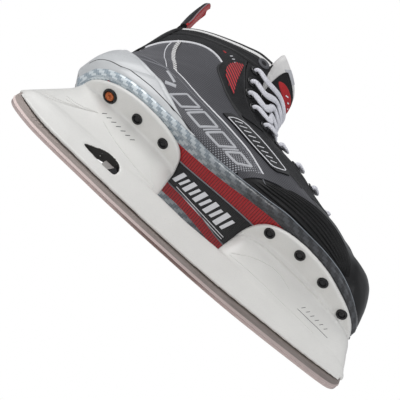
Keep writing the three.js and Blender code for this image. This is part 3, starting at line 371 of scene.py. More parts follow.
def ribbon(P, N, width, height, n=6, flat=2.5, base=-.35, closed=False, wob=None):
    """verts, faces and uv of a raised strip along P with surface normals N"""
    T = frames_along(P)
    if closed:
        T = (np.roll(P, -1, 0) - np.roll(P, 1, 0))
        T /= np.linalg.norm(T, axis=1, keepdims=True)
    B = np.cross(N, T)
    B /= np.linalg.norm(B, axis=1, keepdims=True) + 1e-12
    w = np.broadcast_to(np.asarray(width, float), (len(P),))
    h = np.broadcast_to(np.asarray(height, float), (len(P),))
    qs = np.linspace(-1, 1, n)
    prof = [(q, base + (1 - abs(q) ** flat) * 1.0) for q in qs]
    L = arc(P[:, None, :], 0)[:, 0]
    V, U = [], []
    for i in range(len(P)):
        for q in qs:
            top = (1 - abs(q) ** flat) * (h[i] - base) + base
            V.append(P[i] + B[i] * q * w[i] / 2 + N[i] * top)
            U.append((L[i], q * w[i] / 2))
    F = grid_faces(len(P), n, closed_u=closed)
    return np.array(V), F, np.array(U)


def ribbon_obj(name, parts, mat, body="boot"):
    V, F, U = [], [], []
    k = 0
    for v, f, u in parts:
        V.append(v)
        U.append(u)
        F += [tuple(i + k for i in q) for q in f]
        k += len(v)
    ob = new_obj(name, np.concatenate(V), F, [mat], None, np.concatenate(U), body=body)
    return fix_normals(ob, 60)


def skin_strip(xz, side, width, height, off=0.0, step=1.6, rounds=2, **kw):
    path = smooth_path(xz, step, rounds)
    P, N = on_skin(path, side, off)
    return ribbon(P, N, width, height, **kw)


def patch_on_skin(poly, side, off, height, step=3.0, edge=.25):
    """verts, faces, uv of a filled raised shape whose outline is given in the side view"""
    poly = resample(np.vstack([poly, poly[:1]]), 1.5)[:-1]
    lo, hi = poly.min(0), poly.max(0)
    pts = [Vector(p) for p in poly]
    n = len(pts)
    inner = []
    gx = np.arange(lo[0] + step / 2, hi[0], step)
    gz = np.arange(lo[1] + step / 2, hi[1], step)
    a, b = poly, np.roll(poly, -1, 0)
    for x in gx:
        for z in gz:
            c = ((a[:, 1] > z) != (b[:, 1] > z)) & (x < (b[:, 0] - a[:, 0]) * (z - a[:, 1]) / (b[:, 1] - a[:, 1] + 1e-12) + a[:, 0])
            if c.sum() % 2:
                dd = np.hypot(poly[:, 0] - x, poly[:, 1] - z).min()
                if dd > step * .45:
                    inner.append(Vector((x, z)))
    co, _, tri, _, _, _ = delaunay_2d_cdt(pts + inner, [(i, (i + 1) % n) for i in range(n)], [], 1, 1e-5)
    xz = np.array([tuple(c) for c in co])
    v, s = locate(xz[:, 0], xz[:, 1])
    bad = np.isnan(v)
    if bad.any():
        good = np.nonzero(~bad)[0]
        for i in np.nonzero(bad)[0]:
            g = good[np.argmin(np.hypot(*(xz[good] - xz[i]).T))]
            v[i], s[i] = v[g], s[g]
    P, N = skin(v, s, side), skin_normal(v, s, side)
    top, low = P + N * (off + height), P + N * (off - .3)
    m = len(xz)
    F = [tuple(t) if side < 0 else tuple(t)[::-1] for t in tri]
    F += [(i, (i + 1) % n, m + (i + 1) % n, m + i) for i in range(n)]
    return np.concatenate([top, low]), F, np.concatenate([xz, xz])


def lathe(profile, seg=40):
    """profile of (r, h) turned about +Y, returned as verts and faces"""
    V, n = [], len(profile)
    for k in range(seg):
        a = 2 * math.pi * k / seg
        for r, h in profile:
            V.append((r * math.cos(a), h, r * math.sin(a)))
    return np.array(V), grid_faces(seg, n, closed_u=True)


def place(V, origin, normal):
    """turn +Y onto the normal and move"""
    q = Vector((0, 1, 0)).rotation_difference(Vector(normal)).to_matrix()
    M = np.array(q)
    return np.asarray(V) @ M.T + np.asarray(origin)


def join_geo(parts):
    V, F, k = [], [], 0
    for v, f in parts:
        V.append(np.asarray(v))
        F += [tuple(i + k for i in q) for q in f]
        k += len(v)
    return np.concatenate(V), F


def tube(P, r, seg=12, caps=True, N0=None, flat=1.0):
    """swept tube; flat < 1 makes a flat oval section, N0 the direction of its short side"""
    P = np.asarray(P, float)
    T = frames_along(P)
    r = np.broadcast_to(np.asarray(r, float), (len(P),))
    V = []
    N = np.cross(T[0], [0, 1, 0]) if N0 is None else np.asarray(N0, float)[0] if np.ndim(N0) == 2 else np.asarray(N0, float)
    if np.linalg.norm(N) < .1:
        N = np.cross(T[0], [1, 0, 0])
    for i in range(len(P)):
        if N0 is not None and np.ndim(N0) == 2:
            N = N0[i]
        N = N - T[i] * (N @ T[i])
        N /= np.linalg.norm(N) + 1e-12
        B = np.cross(T[i], N)
        for k in range(seg):
            a = 2 * math.pi * k / seg
            V.append(P[i] + (N * math.cos(a) * flat + B * math.sin(a)) * r[i])
    F = grid_faces(len(P), seg, closed_v=True)
    if caps:
        V += [P[0], P[-1]]
        m = len(P) * seg
        F += [(m, (k + 1) % seg, k) for k in range(seg)]
        o = (len(P) - 1) * seg
        F += [(m + 1, o + k, o + (k + 1) % seg) for k in range(seg)]
    return np.array(V), F


# ------------------------------------------------------------------ materials
class Mat:
    def __init__(s, name):
        s.m = bpy.data.materials.new(name)
        s.m.use_nodes = True
        s.t = s.m.node_tree
        s.t.nodes.clear()
        s.o = s.t.nodes.new("ShaderNodeOutputMaterial")
        s.b = s.t.nodes.new("ShaderNodeBsdfPrincipled")
        s.t.links.new(s.b.outputs[0], s.o.inputs[0])

    def N(s, typ, ins=None, **props):
        n = s.t.nodes.new("ShaderNode" + typ)
        for k, v in props.items():
            setattr(n, k, v)
        for k, v in (ins or {}).items():
            s.put(n.inputs[k], v)
        return n

    def put(s, sock, v):
        if isinstance(v, bpy.types.NodeSocket):
            s.t.links.new(v, sock)
        else:
            if sock.type == "RGBA" and len(v) == 3:
                v = (*v, 1)
            sock.default_value = v

    def math(s, op, a, b=None, c=None, clamp=False):
        n = s.t.nodes.new("ShaderNodeMath")
        n.operation, n.use_clamp = op, clamp
        for i, v in enumerate((a, b, c)):
            if v is not None:
                s.put(n.inputs[i], v)
        return n.outputs[0]

    def mix(s, f, a, b, blend="MIX"):
        n = s.t.nodes.new("ShaderNodeMix")
        n.data_type, n.blend_type = "RGBA", blend
        s.put(n.inputs[0], f)
        s.put(n.inputs[6], a)
        s.put(n.inputs[7], b)
        return n.outputs[2]

    def ramp(s, f, stops, interp="LINEAR"):
        n = s.t.nodes.new("ShaderNodeValToRGB")
        n.color_ramp.interpolation = interp
        e = n.color_ramp.elements
        while len(e) < len(stops):
            e.new(.5)
        for k, (p, c) in enumerate(stops):
            e[k].position = p
            e[k].color = (c, c, c, 1) if np.isscalar(c) else (*c, 1)
        s.put(n.inputs[0], f)
        return n.outputs[0]

    def obj(s):
        """object coordinates in mm"""
        tc = s.N("TexCoord")
        return s.N("VectorMath", {0: tc.outputs["Object"], 1: (1000, 1000, 1000)}, operation="MULTIPLY").outputs[0]

    def uv(s):
        return s.N("UVMap", uv_map="mm").outputs[0]

    def xyz(s, v):
        return s.N("SeparateXYZ", {0: v}).outputs

    def scaled(s, v, k, rot=(0, 0, 0)):
        return s.N("Mapping", {"Vector": v, "Scale": k if np.ndim(k) else (k, k, k), "Rotation": rot}).outputs[0]

    def noise(s, v, scale, detail=3, rough=.55, out=0):
        return s.N("TexNoise", {"Vector": v, "Scale": scale, "Detail": detail, "Roughness": rough}).outputs[out]

    def set(s, **k):
        names = {"color": "Base Color", "rough": "Roughness", "metal": "Metallic", "normal": "Normal", "coat": "Coat Weight",
                 "coat_rough": "Coat Roughness", "sheen": "Sheen Weight", "sheen_rough": "Sheen Roughness", "spec": "Specular IOR Level",
                 "ior": "IOR", "aniso": "Anisotropic", "sheen_tint": "Sheen Tint", "sub": "Subsurface Weight"}
        for a, v in k.items():
            s.put(s.b.inputs[names[a]], v)
        return s

    def bump(s, *layers):
        """layers of (height socket, distance in mm)"""
        nrm = None
        for h, d in layers:
            n = s.N("Bump", {"Height": h, "Distance": d / 1000.0, "Strength": 1.0})
            if nrm is not None:
                s.t.links.new(nrm, n.inputs["Normal"])
            nrm = n.outputs[0]
        s.t.links.new(nrm, s.b.inputs["Normal"])
        return s


def hexc(h):
    v = [int(h[i:i + 2], 16) / 255 for i in (0, 2, 4)]
    return tuple(c / 12.92 if c <= .04045 else ((c + .055) / 1.055) ** 2.4 for c in v)


MAT = {}


def moulded(name, color, rough=.38, var=.04, grain=.02, coat=0.0, spec=.5, wear=None):
    """moulded plastic with faint cloudy variation, fine grain, and handling marks"""
    m = Mat(name)
    p = m.obj()
    big, fine = m.noise(p, .035, 4), m.noise(p, 2.2, 3)
    dark = tuple(c * (1 - var * 2.2) for c in color)
    c = m.mix(m.ramp(big, [(.35, 0), (.65, 1)]), dark, color)
    scuff = m.noise(m.scaled(p, (.25, 1.6, 1.6)), .8, 5, .7)
    c = m.mix(m.ramp(scuff, [(.60, 0), (.74, .10 if wear is None else wear)]), c, tuple(min(1, k * .8 + .02) for k in color))
    m.set(color=c, rough=m.ramp(fine, [(.3, rough - .05), (.7, rough + .06)]), spec=spec)
    if coat:
        m.set(coat=coat, coat_rough=.12)
    m.bump((fine, grain), (big, .25))
    MAT[name] = m.m
    return m.m


def make_materials():
    moulded("holder_plastic", hexc("dfdeda"), .30, .02, .012, spec=.5, wear=.05)
    moulded("heel_shell", hexc("c9cbcc"), .30, .03, .012, spec=.5, wear=.06)
    moulded("black_gloss", hexc("111113"), .22, .1, .01, spec=.5)
    moulded("black_soft", hexc("1d1d1f"), .48, .12, .05)
    moulded("rubber_grey", hexc("4a4b4f"), .5, .1, .03)
    moulded("print_black", hexc("19191b"), .5, .1, .0)
    moulded("mark_grey", hexc("b5b6ba"), .42, .04, .0)
    moulded("mark_white", hexc("e3e3e6"), .42, .02, .0)
    moulded("mark_dim", hexc("77787d"), .45, .04, .0)
    moulded("board_grey", hexc("57534d"), .8, .1, .05)
    # painted shade for the walls inside the holder's finger window
    moulded("window_painted_shade", hexc("2f2d2a"), .7, .1, .02)
    # painted highlight for the bevel along the top of the tray
    moulded("edge_grey", hexc("8d939a"), .3, .08, .02, coat=.4)
    # ground steel: streaks across the height of the blade, paler strip near the edge from UV v
    m = Mat("blade_steel")
    p, uv = m.obj(), m.uv()
    u = m.xyz(uv)
    streak = m.noise(m.scaled(p, (.12, 1, 3.2)), 3.0, 6, .7)
    long = m.noise(m.scaled(p, (.02, 1, .4)), 2.0, 3)
    c = m.mix(m.ramp(streak, [(.3, 0), (.7, 1)]), hexc("857b77"), hexc("9c928d"))
    c = m.mix(m.ramp(long, [(.35, 0), (.7, .6)]), c, hexc("aca39e"))
    edge = m.math("LESS_THAN", u[1], 2.6)
    c = m.mix(m.math("MULTIPLY", edge, .85), c, hexc("d9c8c4"))
    m.set(color=c, metal=.82, rough=m.ramp(streak, [(.25, .34), (.75, .5)]), aniso=.4)
    m.bump((streak, .012))
    MAT["blade_steel"] = m.m
    m = Mat("bright_steel")
    p = m.obj()
    st = m.noise(m.scaled(p, (3, 1, .3)), 3.0, 5, .7)
    m.set(color=m.mix(st, hexc("8f8b88"), hexc("bdb9b5")), metal=.95, rough=m.ramp(st, [(.3, .25), (.7, .42)]))
    m.bump((st, .01))
    MAT["bright_steel"] = m.m
    m = Mat("copper_metal")
    p = m.obj()
    st = m.noise(p, 1.4, 5, .6)
    m.set(color=m.mix(m.ramp(st, [(.35, 0), (.7, 1)]), hexc("9b4a26"), hexc("dd8a5e")), metal=.9, rough=m.ramp(st, [(.3, .22), (.7, .4)]))
    m.bump((st, .05))
    MAT["copper_metal"] = m.m
    # woven composite: 2x2 twill of 2.4 mm tows under a clear coat; the lighter and darker tows and the paler crown of
    # each tow are painted reflection, and a painted silver reflection at the heel fades to dark at the toe
    m = Mat("carbon_weave")
    uv = m.uv()
    u = m.xyz(uv)
    X = m.math("DIVIDE", u[0], 2.3)
    Y = m.math("DIVIDE", u[1], 2.3)
    cell = m.math("ADD", m.math("FLOOR", X), m.math("FLOOR", Y))
    ph = m.math("FLOORED_MODULO", cell, 4.0)
    warp = m.math("LESS_THAN", ph, 1.5)
    fx, fy = m.math("FRACT", X), m.math("FRACT", Y)
    hump_x = m.math("SUBTRACT", 1.0, m.math("POWER", m.math("ABSOLUTE", m.math("SUBTRACT", m.math("MULTIPLY", fx, 2.0), 1.0)), 2.0))
    hump_y = m.math("SUBTRACT", 1.0, m.math("POWER", m.math("ABSOLUTE", m.math("SUBTRACT", m.math("MULTIPLY", fy, 2.0), 1.0)), 2.0))
    hump = m.math("ADD", m.math("MULTIPLY", warp, hump_y), m.math("MULTIPLY", m.math("SUBTRACT", 1.0, warp), hump_x))
    fib = m.noise(m.scaled(m.N("Combine" "XYZ", {0: m.math("ADD", m.math("MULTIPLY", u[0], warp), m.math("MULTIPLY", u[1], m.math("SUBTRACT", 1.0, warp))), 1: m.math("MULTIPLY", m.math("ADD", u[0], u[1]), 4.0), 2: 0.0}).outputs[0], 1.0), 1.5, 3)
    ox = m.xyz(m.obj())[0]
    # painted reflection: silver at the heel, fading to dark towards the toe along x
    heel_reflection_fade = m.math("SMOOTH_MIN", 1.0, m.math("MAXIMUM", 0.0, m.math("DIVIDE", m.math("SUBTRACT", ox, -80.0), 100.0)), .1)
    lit_tow_colour = m.mix(heel_reflection_fade, hexc("dbe3e6"), hexc("3c3e42"))
    shaded_tow_colour = m.mix(heel_reflection_fade, hexc("8797a2"), hexc("17181a"))
    # the tones of warp against weft and the paler tow crowns are painted sheen of the fibres
    sheen_tone = m.math("ADD", m.math("MULTIPLY", warp, .7), m.math("MULTIPLY", hump, .3))
    sheen_tone = m.math("ADD", sheen_tone, m.math("MULTIPLY", m.math("SUBTRACT", fib, .5), .5), clamp=True)
    m.set(color=m.mix(sheen_tone, shaded_tow_colour, lit_tow_colour), rough=.34, coat=.7, coat_rough=.08, metal=.15)
    m.bump((hump, .06))
    MAT["carbon_weave"] = m.m
    # red outsole band: fine ribs across the length
    m = Mat("red_ribbed")
    u = m.xyz(m.uv())
    w = m.math("FRACT", m.math("DIVIDE", u[0], 1.9))
    rib = m.math("ABSOLUTE", m.math("SUBTRACT", m.math("MULTIPLY", w, 2.0), 1.0))
    n = m.noise(m.obj(), .12, 3)
    # the grooves between the ribs are painted a darker red, painted shade in the grooves
    c = m.mix(m.ramp(rib, [(.55, 0), (.95, 1)]), hexc("a8141c"), hexc("4c080c"))
    c = m.mix(m.ramp(n, [(.3, 0), (.7, .25)]), c, hexc("7c1016"))
    m.set(color=c, rough=.45, coat=.12, coat_rough=.3)
    m.bump((m.ramp(rib, [(.5, 1), (.95, 0)]), .22))
    MAT["red_ribbed"] = m.m
    # charcoal side panel: fine lines running up the boot, woven look, with small light dots low in the arch
    for nm, base, hi, dots in (("charcoal_lines", "333337", "4d4d53", False), ("charcoal_mesh", "3c3c40", "606066", True), ("black_lines", "121213", "222224", False)):
        m = Mat(nm)
        uv = m.uv()
        u = m.xyz(uv)
        wob = m.noise(m.scaled(uv, (.05, .05, 1)), 1.0, 2)
        t = m.math("ADD", m.math("DIVIDE", u[0], 1.25), m.math("MULTIPLY", wob, 3.0))
        f = m.math("ABSOLUTE", m.math("SUBTRACT", m.math("MULTIPLY", m.math("FRACT", t), 2.0), 1.0))
        line = m.ramp(f, [(.35, 0), (.85, 1)])
        big = m.noise(m.obj(), .03, 3)
        c = m.mix(line, hexc(base), hexc(hi))
        c = m.mix(m.ramp(big, [(.35, .0), (.7, .35)]), c, hexc(base))
        h = line
        if dots:
            A = m.math("DIVIDE", m.math("ADD", u[0], u[1]), 2.3)
            B = m.math("DIVIDE", m.math("SUBTRACT", u[0], u[1]), 2.3)
            da = m.math("SUBTRACT", m.math("FRACT", A), .5)
            db = m.math("SUBTRACT", m.math("FRACT", B), .5)
            r = m.math("SQRT", m.math("ADD", m.math("MULTIPLY", da, da), m.math("MULTIPLY", db, db)))
            ox = m.xyz(m.obj())
            low = m.math("SUBTRACT", 1.0, m.math("DIVIDE", m.math("SUBTRACT", ox[2], 70.0 + 0.0), 42.0), clamp=True)
            fwd = m.math("DIVIDE", m.math("SUBTRACT", ox[0], -60.0), 60.0, clamp=True)
            big_r = m.math("MULTIPLY", m.math("MULTIPLY", low, fwd), .34)
            dot = m.math("LESS_THAN", r, big_r)
            c = m.mix(m.math("MULTIPLY", dot, .85), c, hexc("aeb0b6"))
            c = m.mix(m.math("MULTIPLY", m.math("MULTIPLY", m.math("GREATER_THAN", r, .42), m.math("MULTIPLY", low, fwd)), .6), c, hexc("1d1d20"))
            h = m.math("ADD", h, dot)
        m.set(color=c, rough=.46, spec=.45, sheen=.05)
        m.bump((h, .10), (big, .5))
        MAT[nm] = m.m
    # soft synthetic leather in black
    m = Mat("black_leather")
    p = m.obj()
    v = m.N("TexVoronoi", {"Vector": p, "Scale": .9}, feature="DISTANCE_TO_EDGE").outputs[0]
    n = m.noise(p, .09, 4)
    c = m.mix(m.ramp(n, [(.3, 0), (.7, 1)]), hexc("0b0b0c"), hexc("1b1b1d"))
    m.set(color=c, rough=m.ramp(v, [(.0, .62), (.25, .46)]), spec=.26)
    m.bump((m.ramp(v, [(0, 0), (.2, 1)]), .10), (n, .6))
    MAT["black_leather"] = m.m
    # cloths: plain weave seen close, with nap
    def cloth(nm, a, b, pitch, nap=.2, rough=.85, sheen=.3, depth=.12):
        m = Mat(nm)
        p = m.obj()
        x, y, z = m.xyz(p)
        k = math.pi * 2 / pitch
        g = m.math("MULTIPLY", m.math("SINE", m.math("MULTIPLY", m.math("ADD", x, m.math("MULTIPLY", y, .6)), k)), m.math("SINE", m.math("MULTIPLY", m.math("SUBTRACT", z, m.math("MULTIPLY", y, .6)), k)))
        n, big = m.noise(p, 3.5, 5, .75), m.noise(p, .08, 3)
        t = m.math("ADD", m.math("MULTIPLY", g, .25), m.math("MULTIPLY", n, .9))
        c = m.mix(m.ramp(t, [(.2, 0), (.75, 1)]), hexc(a), hexc(b))
        c = m.mix(m.ramp(big, [(.35, 0), (.7, .3)]), c, hexc(a))
        m.set(color=c, rough=rough, sheen=sheen, sheen_rough=.5)
        m.bump((t, depth), (big, nap))
        MAT[nm] = m.m
    cloth("white_felt", "c6c4c2", "efeeec", 1.4, .8, .95, .35, .22)
    cloth("lining_black", "111112", "29292c", .9, .3)
    cloth("red_cloth", "8c0d14", "c8161f", 1.0, .2, .7, .03)
    cloth("edge_white", "d4d3d1", "f4f3f1", .8, .1, .6, .1)
    cloth("lace_white", "cfcfd6", "f4f4f8", .75, .15, .8, .25, .16)
    # cord lace: herringbone weave along the length with small grey flecks
    m = Mat("lace_flecked")
    u = m.xyz(m.uv())
    A = m.math("ADD", m.math("DIVIDE", u[0], 1.1), m.math("MULTIPLY", m.math("ABSOLUTE", u[1]), 1.2))
    w = m.math("ABSOLUTE", m.math("SUBTRACT", m.math("MULTIPLY", m.math("FRACT", A), 2.0), 1.0))
    n = m.noise(m.obj(), .55, 2)
    c = m.mix(w, hexc("c9c9d2"), hexc("f6f6fb"))
    fl = m.math("MULTIPLY", m.math("GREATER_THAN", n, .66), m.math("GREATER_THAN", w, .4))
    c = m.mix(m.math("MULTIPLY", fl, .7), c, hexc("6a6a74"))
    m.set(color=c, rough=.8, sheen=.25, sheen_rough=.5)
    m.bump((w, .18))
    MAT["lace_flecked"] = m.m
    # hatched red on black, used on the ankle inset
    m = Mat("red_hatch")
    u = m.xyz(m.uv())
    t = m.math("DIVIDE", m.math("ADD", m.math("MULTIPLY", u[0], .55), m.math("MULTIPLY", u[1], .83)), 2.6)
    w = m.math("FRACT", t)
    on = m.math("LESS_THAN", w, .52)
    n = m.noise(m.obj(), .8, 3)
    c = m.mix(on, hexc("1a1415"), m.mix(n, hexc("a81f27"), hexc("cf3038")))
    m.set(color=c, rough=.5)
    m.bump((m.math("MULTIPLY", on, 1.0), .25))
    MAT["red_hatch"] = m.m


make_materials()
moulded("black_toe", hexc("0a0a0b"), .38, .05, .03, coat=.14, spec=.3)


# ------------------------------------------------------------------ boot: seams as functions of the slice
S_FACE = Pchip([0, 1, 2, 3, 4, 5, 6, 8, 12, 14], [.815, .82, .83, .845, .865, .885, .90, .915, .925, .93])
S_QUART = Pchip([0, 1, 2, 3, 4, 5, 6, 8, 12, 14], [.62, .63, .65, .68, .71, .745, .77, .80, .815, .825])
V_TOE, V_COLLAR = 14.0, 1.45
EYELET_XZ = np.array([[101.3, 200.5], [101, 182.5], [105.2, 168], [109.8, 156.5], [119.4, 149.2], [134.6, 146], [152.3, 142], [171.4, 137], [190.9, 130.6], [211, 123.6]])
EV, ES = locate(EYELET_XZ[:, 0], EYELET_XZ[:, 1])
SIDES = ((-1, "right"), (1, "left"))


def ds(v, mm):
    L = LINES(np.asarray(v, float))
    return mm / np.hypot(L[..., 2] - L[..., 0], L[..., 3] - L[..., 1])


def build_shell():
    M = MAT
    for side, tag in SIDES:
        # quarter: the long charcoal side, with a padded swell over the ankle
        def swell(v, s, P, d):
            g = np.exp(-((P[..., 0] - 72) / 24) ** 2 - ((P[..., 2] - 132) / 22) ** 2) * .9
            return g * np.clip(d / 8, 0, 1)

        q = panel(f"quarter_shell_{tag}", V_COLLAR + .03, V_TOE - .06, 0, lambda v: S_QUART(v) - ds(v, .3), side, 0, 3.2, 150, 60,
                  [M["charcoal_mesh"], M["lining_black"], M["black_leather"]], edge=1.0, sides="ad", relief=swell, ext="xz")
        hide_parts(f"quarter_{tag}")
        # collar over the ankle
        c = panel(f"collar_band_{tag}", 0, V_COLLAR - .03, 0, S_FACE, side, 0, 3.2, 34, 70,
                  [M["black_leather"], M["lining_black"], M["black_leather"]], edge=1.6, sides="ab",
                  relief=lambda v, s, P, d: .35 * np.sin(np.clip(v / V_COLLAR, 0, 1) * math.pi))
        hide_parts(f"collar_{tag}")
        # facing with a shallow channel along the eyelets
        f = panel(f"facing_band_{tag}", V_COLLAR + .03, V_TOE - .06, lambda v: S_QUART(v) + ds(v, .3), S_FACE, side, .1, 2.2, 150, 22,
                  [M["black_leather"], M["lining_black"], M["black_leather"]], edge=.8, sides="abcd",
                  relief=lambda v, s, P, d: .28 * np.clip((d - 1.2) / .8, 0, 1) * np.clip((3.4 - d) / .8, 0, 1))
        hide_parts(f"facing_{tag}")


def build_toe_cap():
    # one cap over both sides; its ribs are drawn with the trim
    m, nv = 90, 110
    t = clustered(nv, (.15, .4, .8), 130)
    v = lerp(V_TOE + .06, NV - .35, t ** .95)
    j = np.linspace(-1, 1, 2 * m + 1)
    s = 1 - np.abs(j) ** 1.2
    VV, SS = np.meshgrid(v, s, indexing="ij")
    side = np.where(j < 0, -1, 1)[None, :] * np.ones_like(VV)
    P, N = skin(VV, SS, side), skin_normal(VV, SS, side)
    x, z = P[..., 0], P[..., 2]
    h = (z - SOLE(x)) / 60
    # six grooves running forward and up from the sole line are worked out in g, which is not applied to the cap
    g = np.zeros_like(x)
    for k in range(7):
        c = 168 + k * 13.5
        line = c + (z - 70) * (.95 - .05 * k)
        d = np.abs(x - line)
        g += np.exp(-(d / 1.3) ** 2) * np.clip((z - SOLE(x) - 9) / 8, 0, 1) * np.clip((102 + k * 1.0 - z) / 14, 0, 1)
    # smooth hard tip in front of a raised step
    step = 1 / (1 + np.exp(-(x + (z - 90) * .45 - 243) / 1.2))
    tip = np.clip((VV - 19) / 2, 0, 1)
    off = -1.0 * tip + .7 * step * (1 - tip) + .3 * step
    drop, d = border_drop(P, 1.1, "a")
    O = P + N * (off - drop)[..., None]
    zmin = SOLE(O[..., 0]) + 1.1
    O[..., 2] = np.where(VV > 19.5, np.maximum(O[..., 2], zmin), O[..., 2])
    I = P + N * -3.0
    c = np.stack([np.minimum(lerp(LINES(VV)[..., 0], LINES(VV)[..., 2], .45), 262), centre_y(P[..., 0]), lerp(LINES(VV)[..., 1], LINES(VV)[..., 3], .45)], -1)
    k = np.linalg.norm(P - c, axis=-1)
    f = np.minimum(.85, 3.0 / np.maximum(k, 3.6))[..., None]
    J = P + (c - P) * f
    I = J + (I - J) * (1 - np.clip((VV - 18) / 2, 0, 1))[..., None]
    I[..., 2] = np.where(VV > 19.5, np.maximum(I[..., 2], SOLE(I[..., 0]) + 1.1), I[..., 2])
    ob = shell_obj("toe_cap_shell", O, I, np.stack([arc(P, 0), arc(P, 1)], -1), [MAT["black_toe"], MAT["lining_black"], MAT["black_toe"]], sharp=60)
    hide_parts("toe_cap")


S_HIGH = Pchip([2.6, 3.6, 4.2, 4.96, 5.68, 6.46, 7.89, 9, 10.18, 11.5, 12.5], [.012, .022, .055, .115, .17, .215, .237, .22, .166, .08, .02])


def build_heel_cap():
    def lo(v):
        L = LINES(v)
        return np.where(v <= 5.75, 0, np.clip((SOLE(L[:, 0] + 10) + TRAY_H(L[:, 0] + 10) + .5 - L[:, 1]) / (L[:, 3] - L[:, 1]), 0, 1))

    def hi(v):
        return np.maximum(S_HIGH(v), lo(v) + .012)

    def relief(v, s, P, d):
        # a lower recessed ledge and a raised rim near the upper edge
        r = -.5 * np.exp(-((d - 4.2) / .7) ** 2)
        g = -.55 * np.exp(-((P[..., 2] - (104 - .25 * (P[..., 0] - 20))) / 1.4) ** 2) * np.clip((58 - P[..., 0]) / 10, 0, 1) * np.clip((P[..., 0] - 16) / 8, 0, 1)
        return r + g

    for side, tag in SIDES:
        o = panel(f"heel_cap_{tag}_half", 3.55, 12.45, lo, hi, side, 2.2, 1.9, 110, 34, [MAT["heel_shell"]], edge=1.5, sides="abd", relief=relief, span=(170, 40))
        if side < 0:
            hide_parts("heel_cap")
    # back strip
    V = []
    tv, J = np.linspace(0, 1, 40), np.linspace(-1, 1, 25)
    v = lerp(.02, 3.0, tv)
    P, O = [], []
    for i in range(len(tv)):
        s = np.abs(J) * lerp(.075, .03, tv[i])
        sd = np.where(J < 0, -1, 1)
        p = skin(np.full(len(J), v[i]), s, sd)
        n = np.stack([-np.ones(len(J)), sd * s * 9, np.full(len(J), .15)], -1)
        n /= np.linalg.norm(n, axis=1, keepdims=True)
        e = np.clip(1 - (1 - np.abs(J)) / .14, 0, 1)
        P.append(p + n * (2.2 - 1.3 * e ** 2)[:, None])
        O.append(p + n * .7)
    P, O = np.array(P), np.array(O)
    ob = shell_obj("heel_strip_band", P, O, np.stack([arc(P, 0), arc(P, 1)], -1), [MAT["black_leather"]])
    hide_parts("heel_strip")


def build_lining():
    for side, tag in SIDES:
        tv, ts = clustered(60, (.5, 1.5, 3), 120), clustered(40, (.5, 1.5), 90)
        v = lerp(.12, 5.5, tv)[:, None]
        s = lerp(.02, (S_QUART(v[:, 0]) - ds(v[:, 0], 2))[:, None], ts[None, :])
        v = np.broadcast_to(v, s.shape)
        P, N = skin(v, s, side), skin_normal(v, s, side)
        drop, d = border_drop(P, 2.2, "abcd")
        A, B = P + N * (-3.2 - 1.7 - drop * .6)[..., None], P + N * (-3.2 - 5.0 + drop * .6)[..., None]
        for G in (A, B):
            G[..., 1] = np.where(side * G[..., 1] < .4, side * .4, G[..., 1])
        ob = shell_obj(f"ankle_padding_{tag}", A, B, np.stack([arc(P, 0), arc(P, 1)], -1), [MAT["lining_black"]])
        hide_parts(f"ankle_liner_{tag}")


# ------------------------------------------------------------------ outsole
def boot_loop(h, n):
    z = lambda x: SOLE(x) + h

    def wid(x):
        v, s = locate(x, z(np.atleast_1d(x)))
        return np.where(np.isnan(v), 0, half_width(np.nan_to_num(v), np.nan_to_num(s)))

    a, b = 8.0, 40.0
    for _ in range(22):
        m = (a + b) / 2
        a, b = (a, m) if wid(m)[0] > .5 else (m, b)
    x0 = b - .15
    a, b = 262.0, 282.0
    for _ in range(22):
        m = (a + b) / 2
        a, b = (m, b) if wid(m)[0] > .8 else (a, m)
    x1 = a + .15
    t = (1 - np.cos(np.pi * np.arange(n + 1) / n)) / 2
    x = lerp(x0, x1, t)
    w = wid(x)
    w[0] = w[-1] = 0
    cy = centre_y(x)
    R, L = np.stack([x, cy - w, z(x)], 1), np.stack([x, cy + w, z(x)], 1)
    return np.vstack([R, L[-2:0:-1]])


def offset_loop(P, d, zf):
    T = np.roll(P, -1, 0) - np.roll(P, 1, 0)
    T = T[:, :2] / (np.linalg.norm(T[:, :2], axis=1, keepdims=True) + 1e-12)
    Q = P.copy()
    Q[:, 0] += T[:, 1] * d
    Q[:, 1] -= T[:, 0] * d
    Q[:, 2] = zf(Q[:, 0])
    return Q


def loft(loops, caps=True):
    n = len(loops[0])
    V = np.concatenate(loops)
    F = grid_faces(len(loops), n, closed_v=True)
    m = n // 2
    if caps:
        for base, fl in ((0, False), ((len(loops) - 1) * n, True)):
            for i in range(m):
                q = [base + i, base + i + 1, base + (n - i - 1) % n, base + (n - i) % n]
                q = list(dict.fromkeys(q))
                if len(q) > 2:
                    F.append(tuple(q if fl else q[::-1]))
    return V, F


TRAY_H = Pchip([10, 60, 140, 200, 262], [1.6, 1.8, 2.5, 2.9, 2.3])


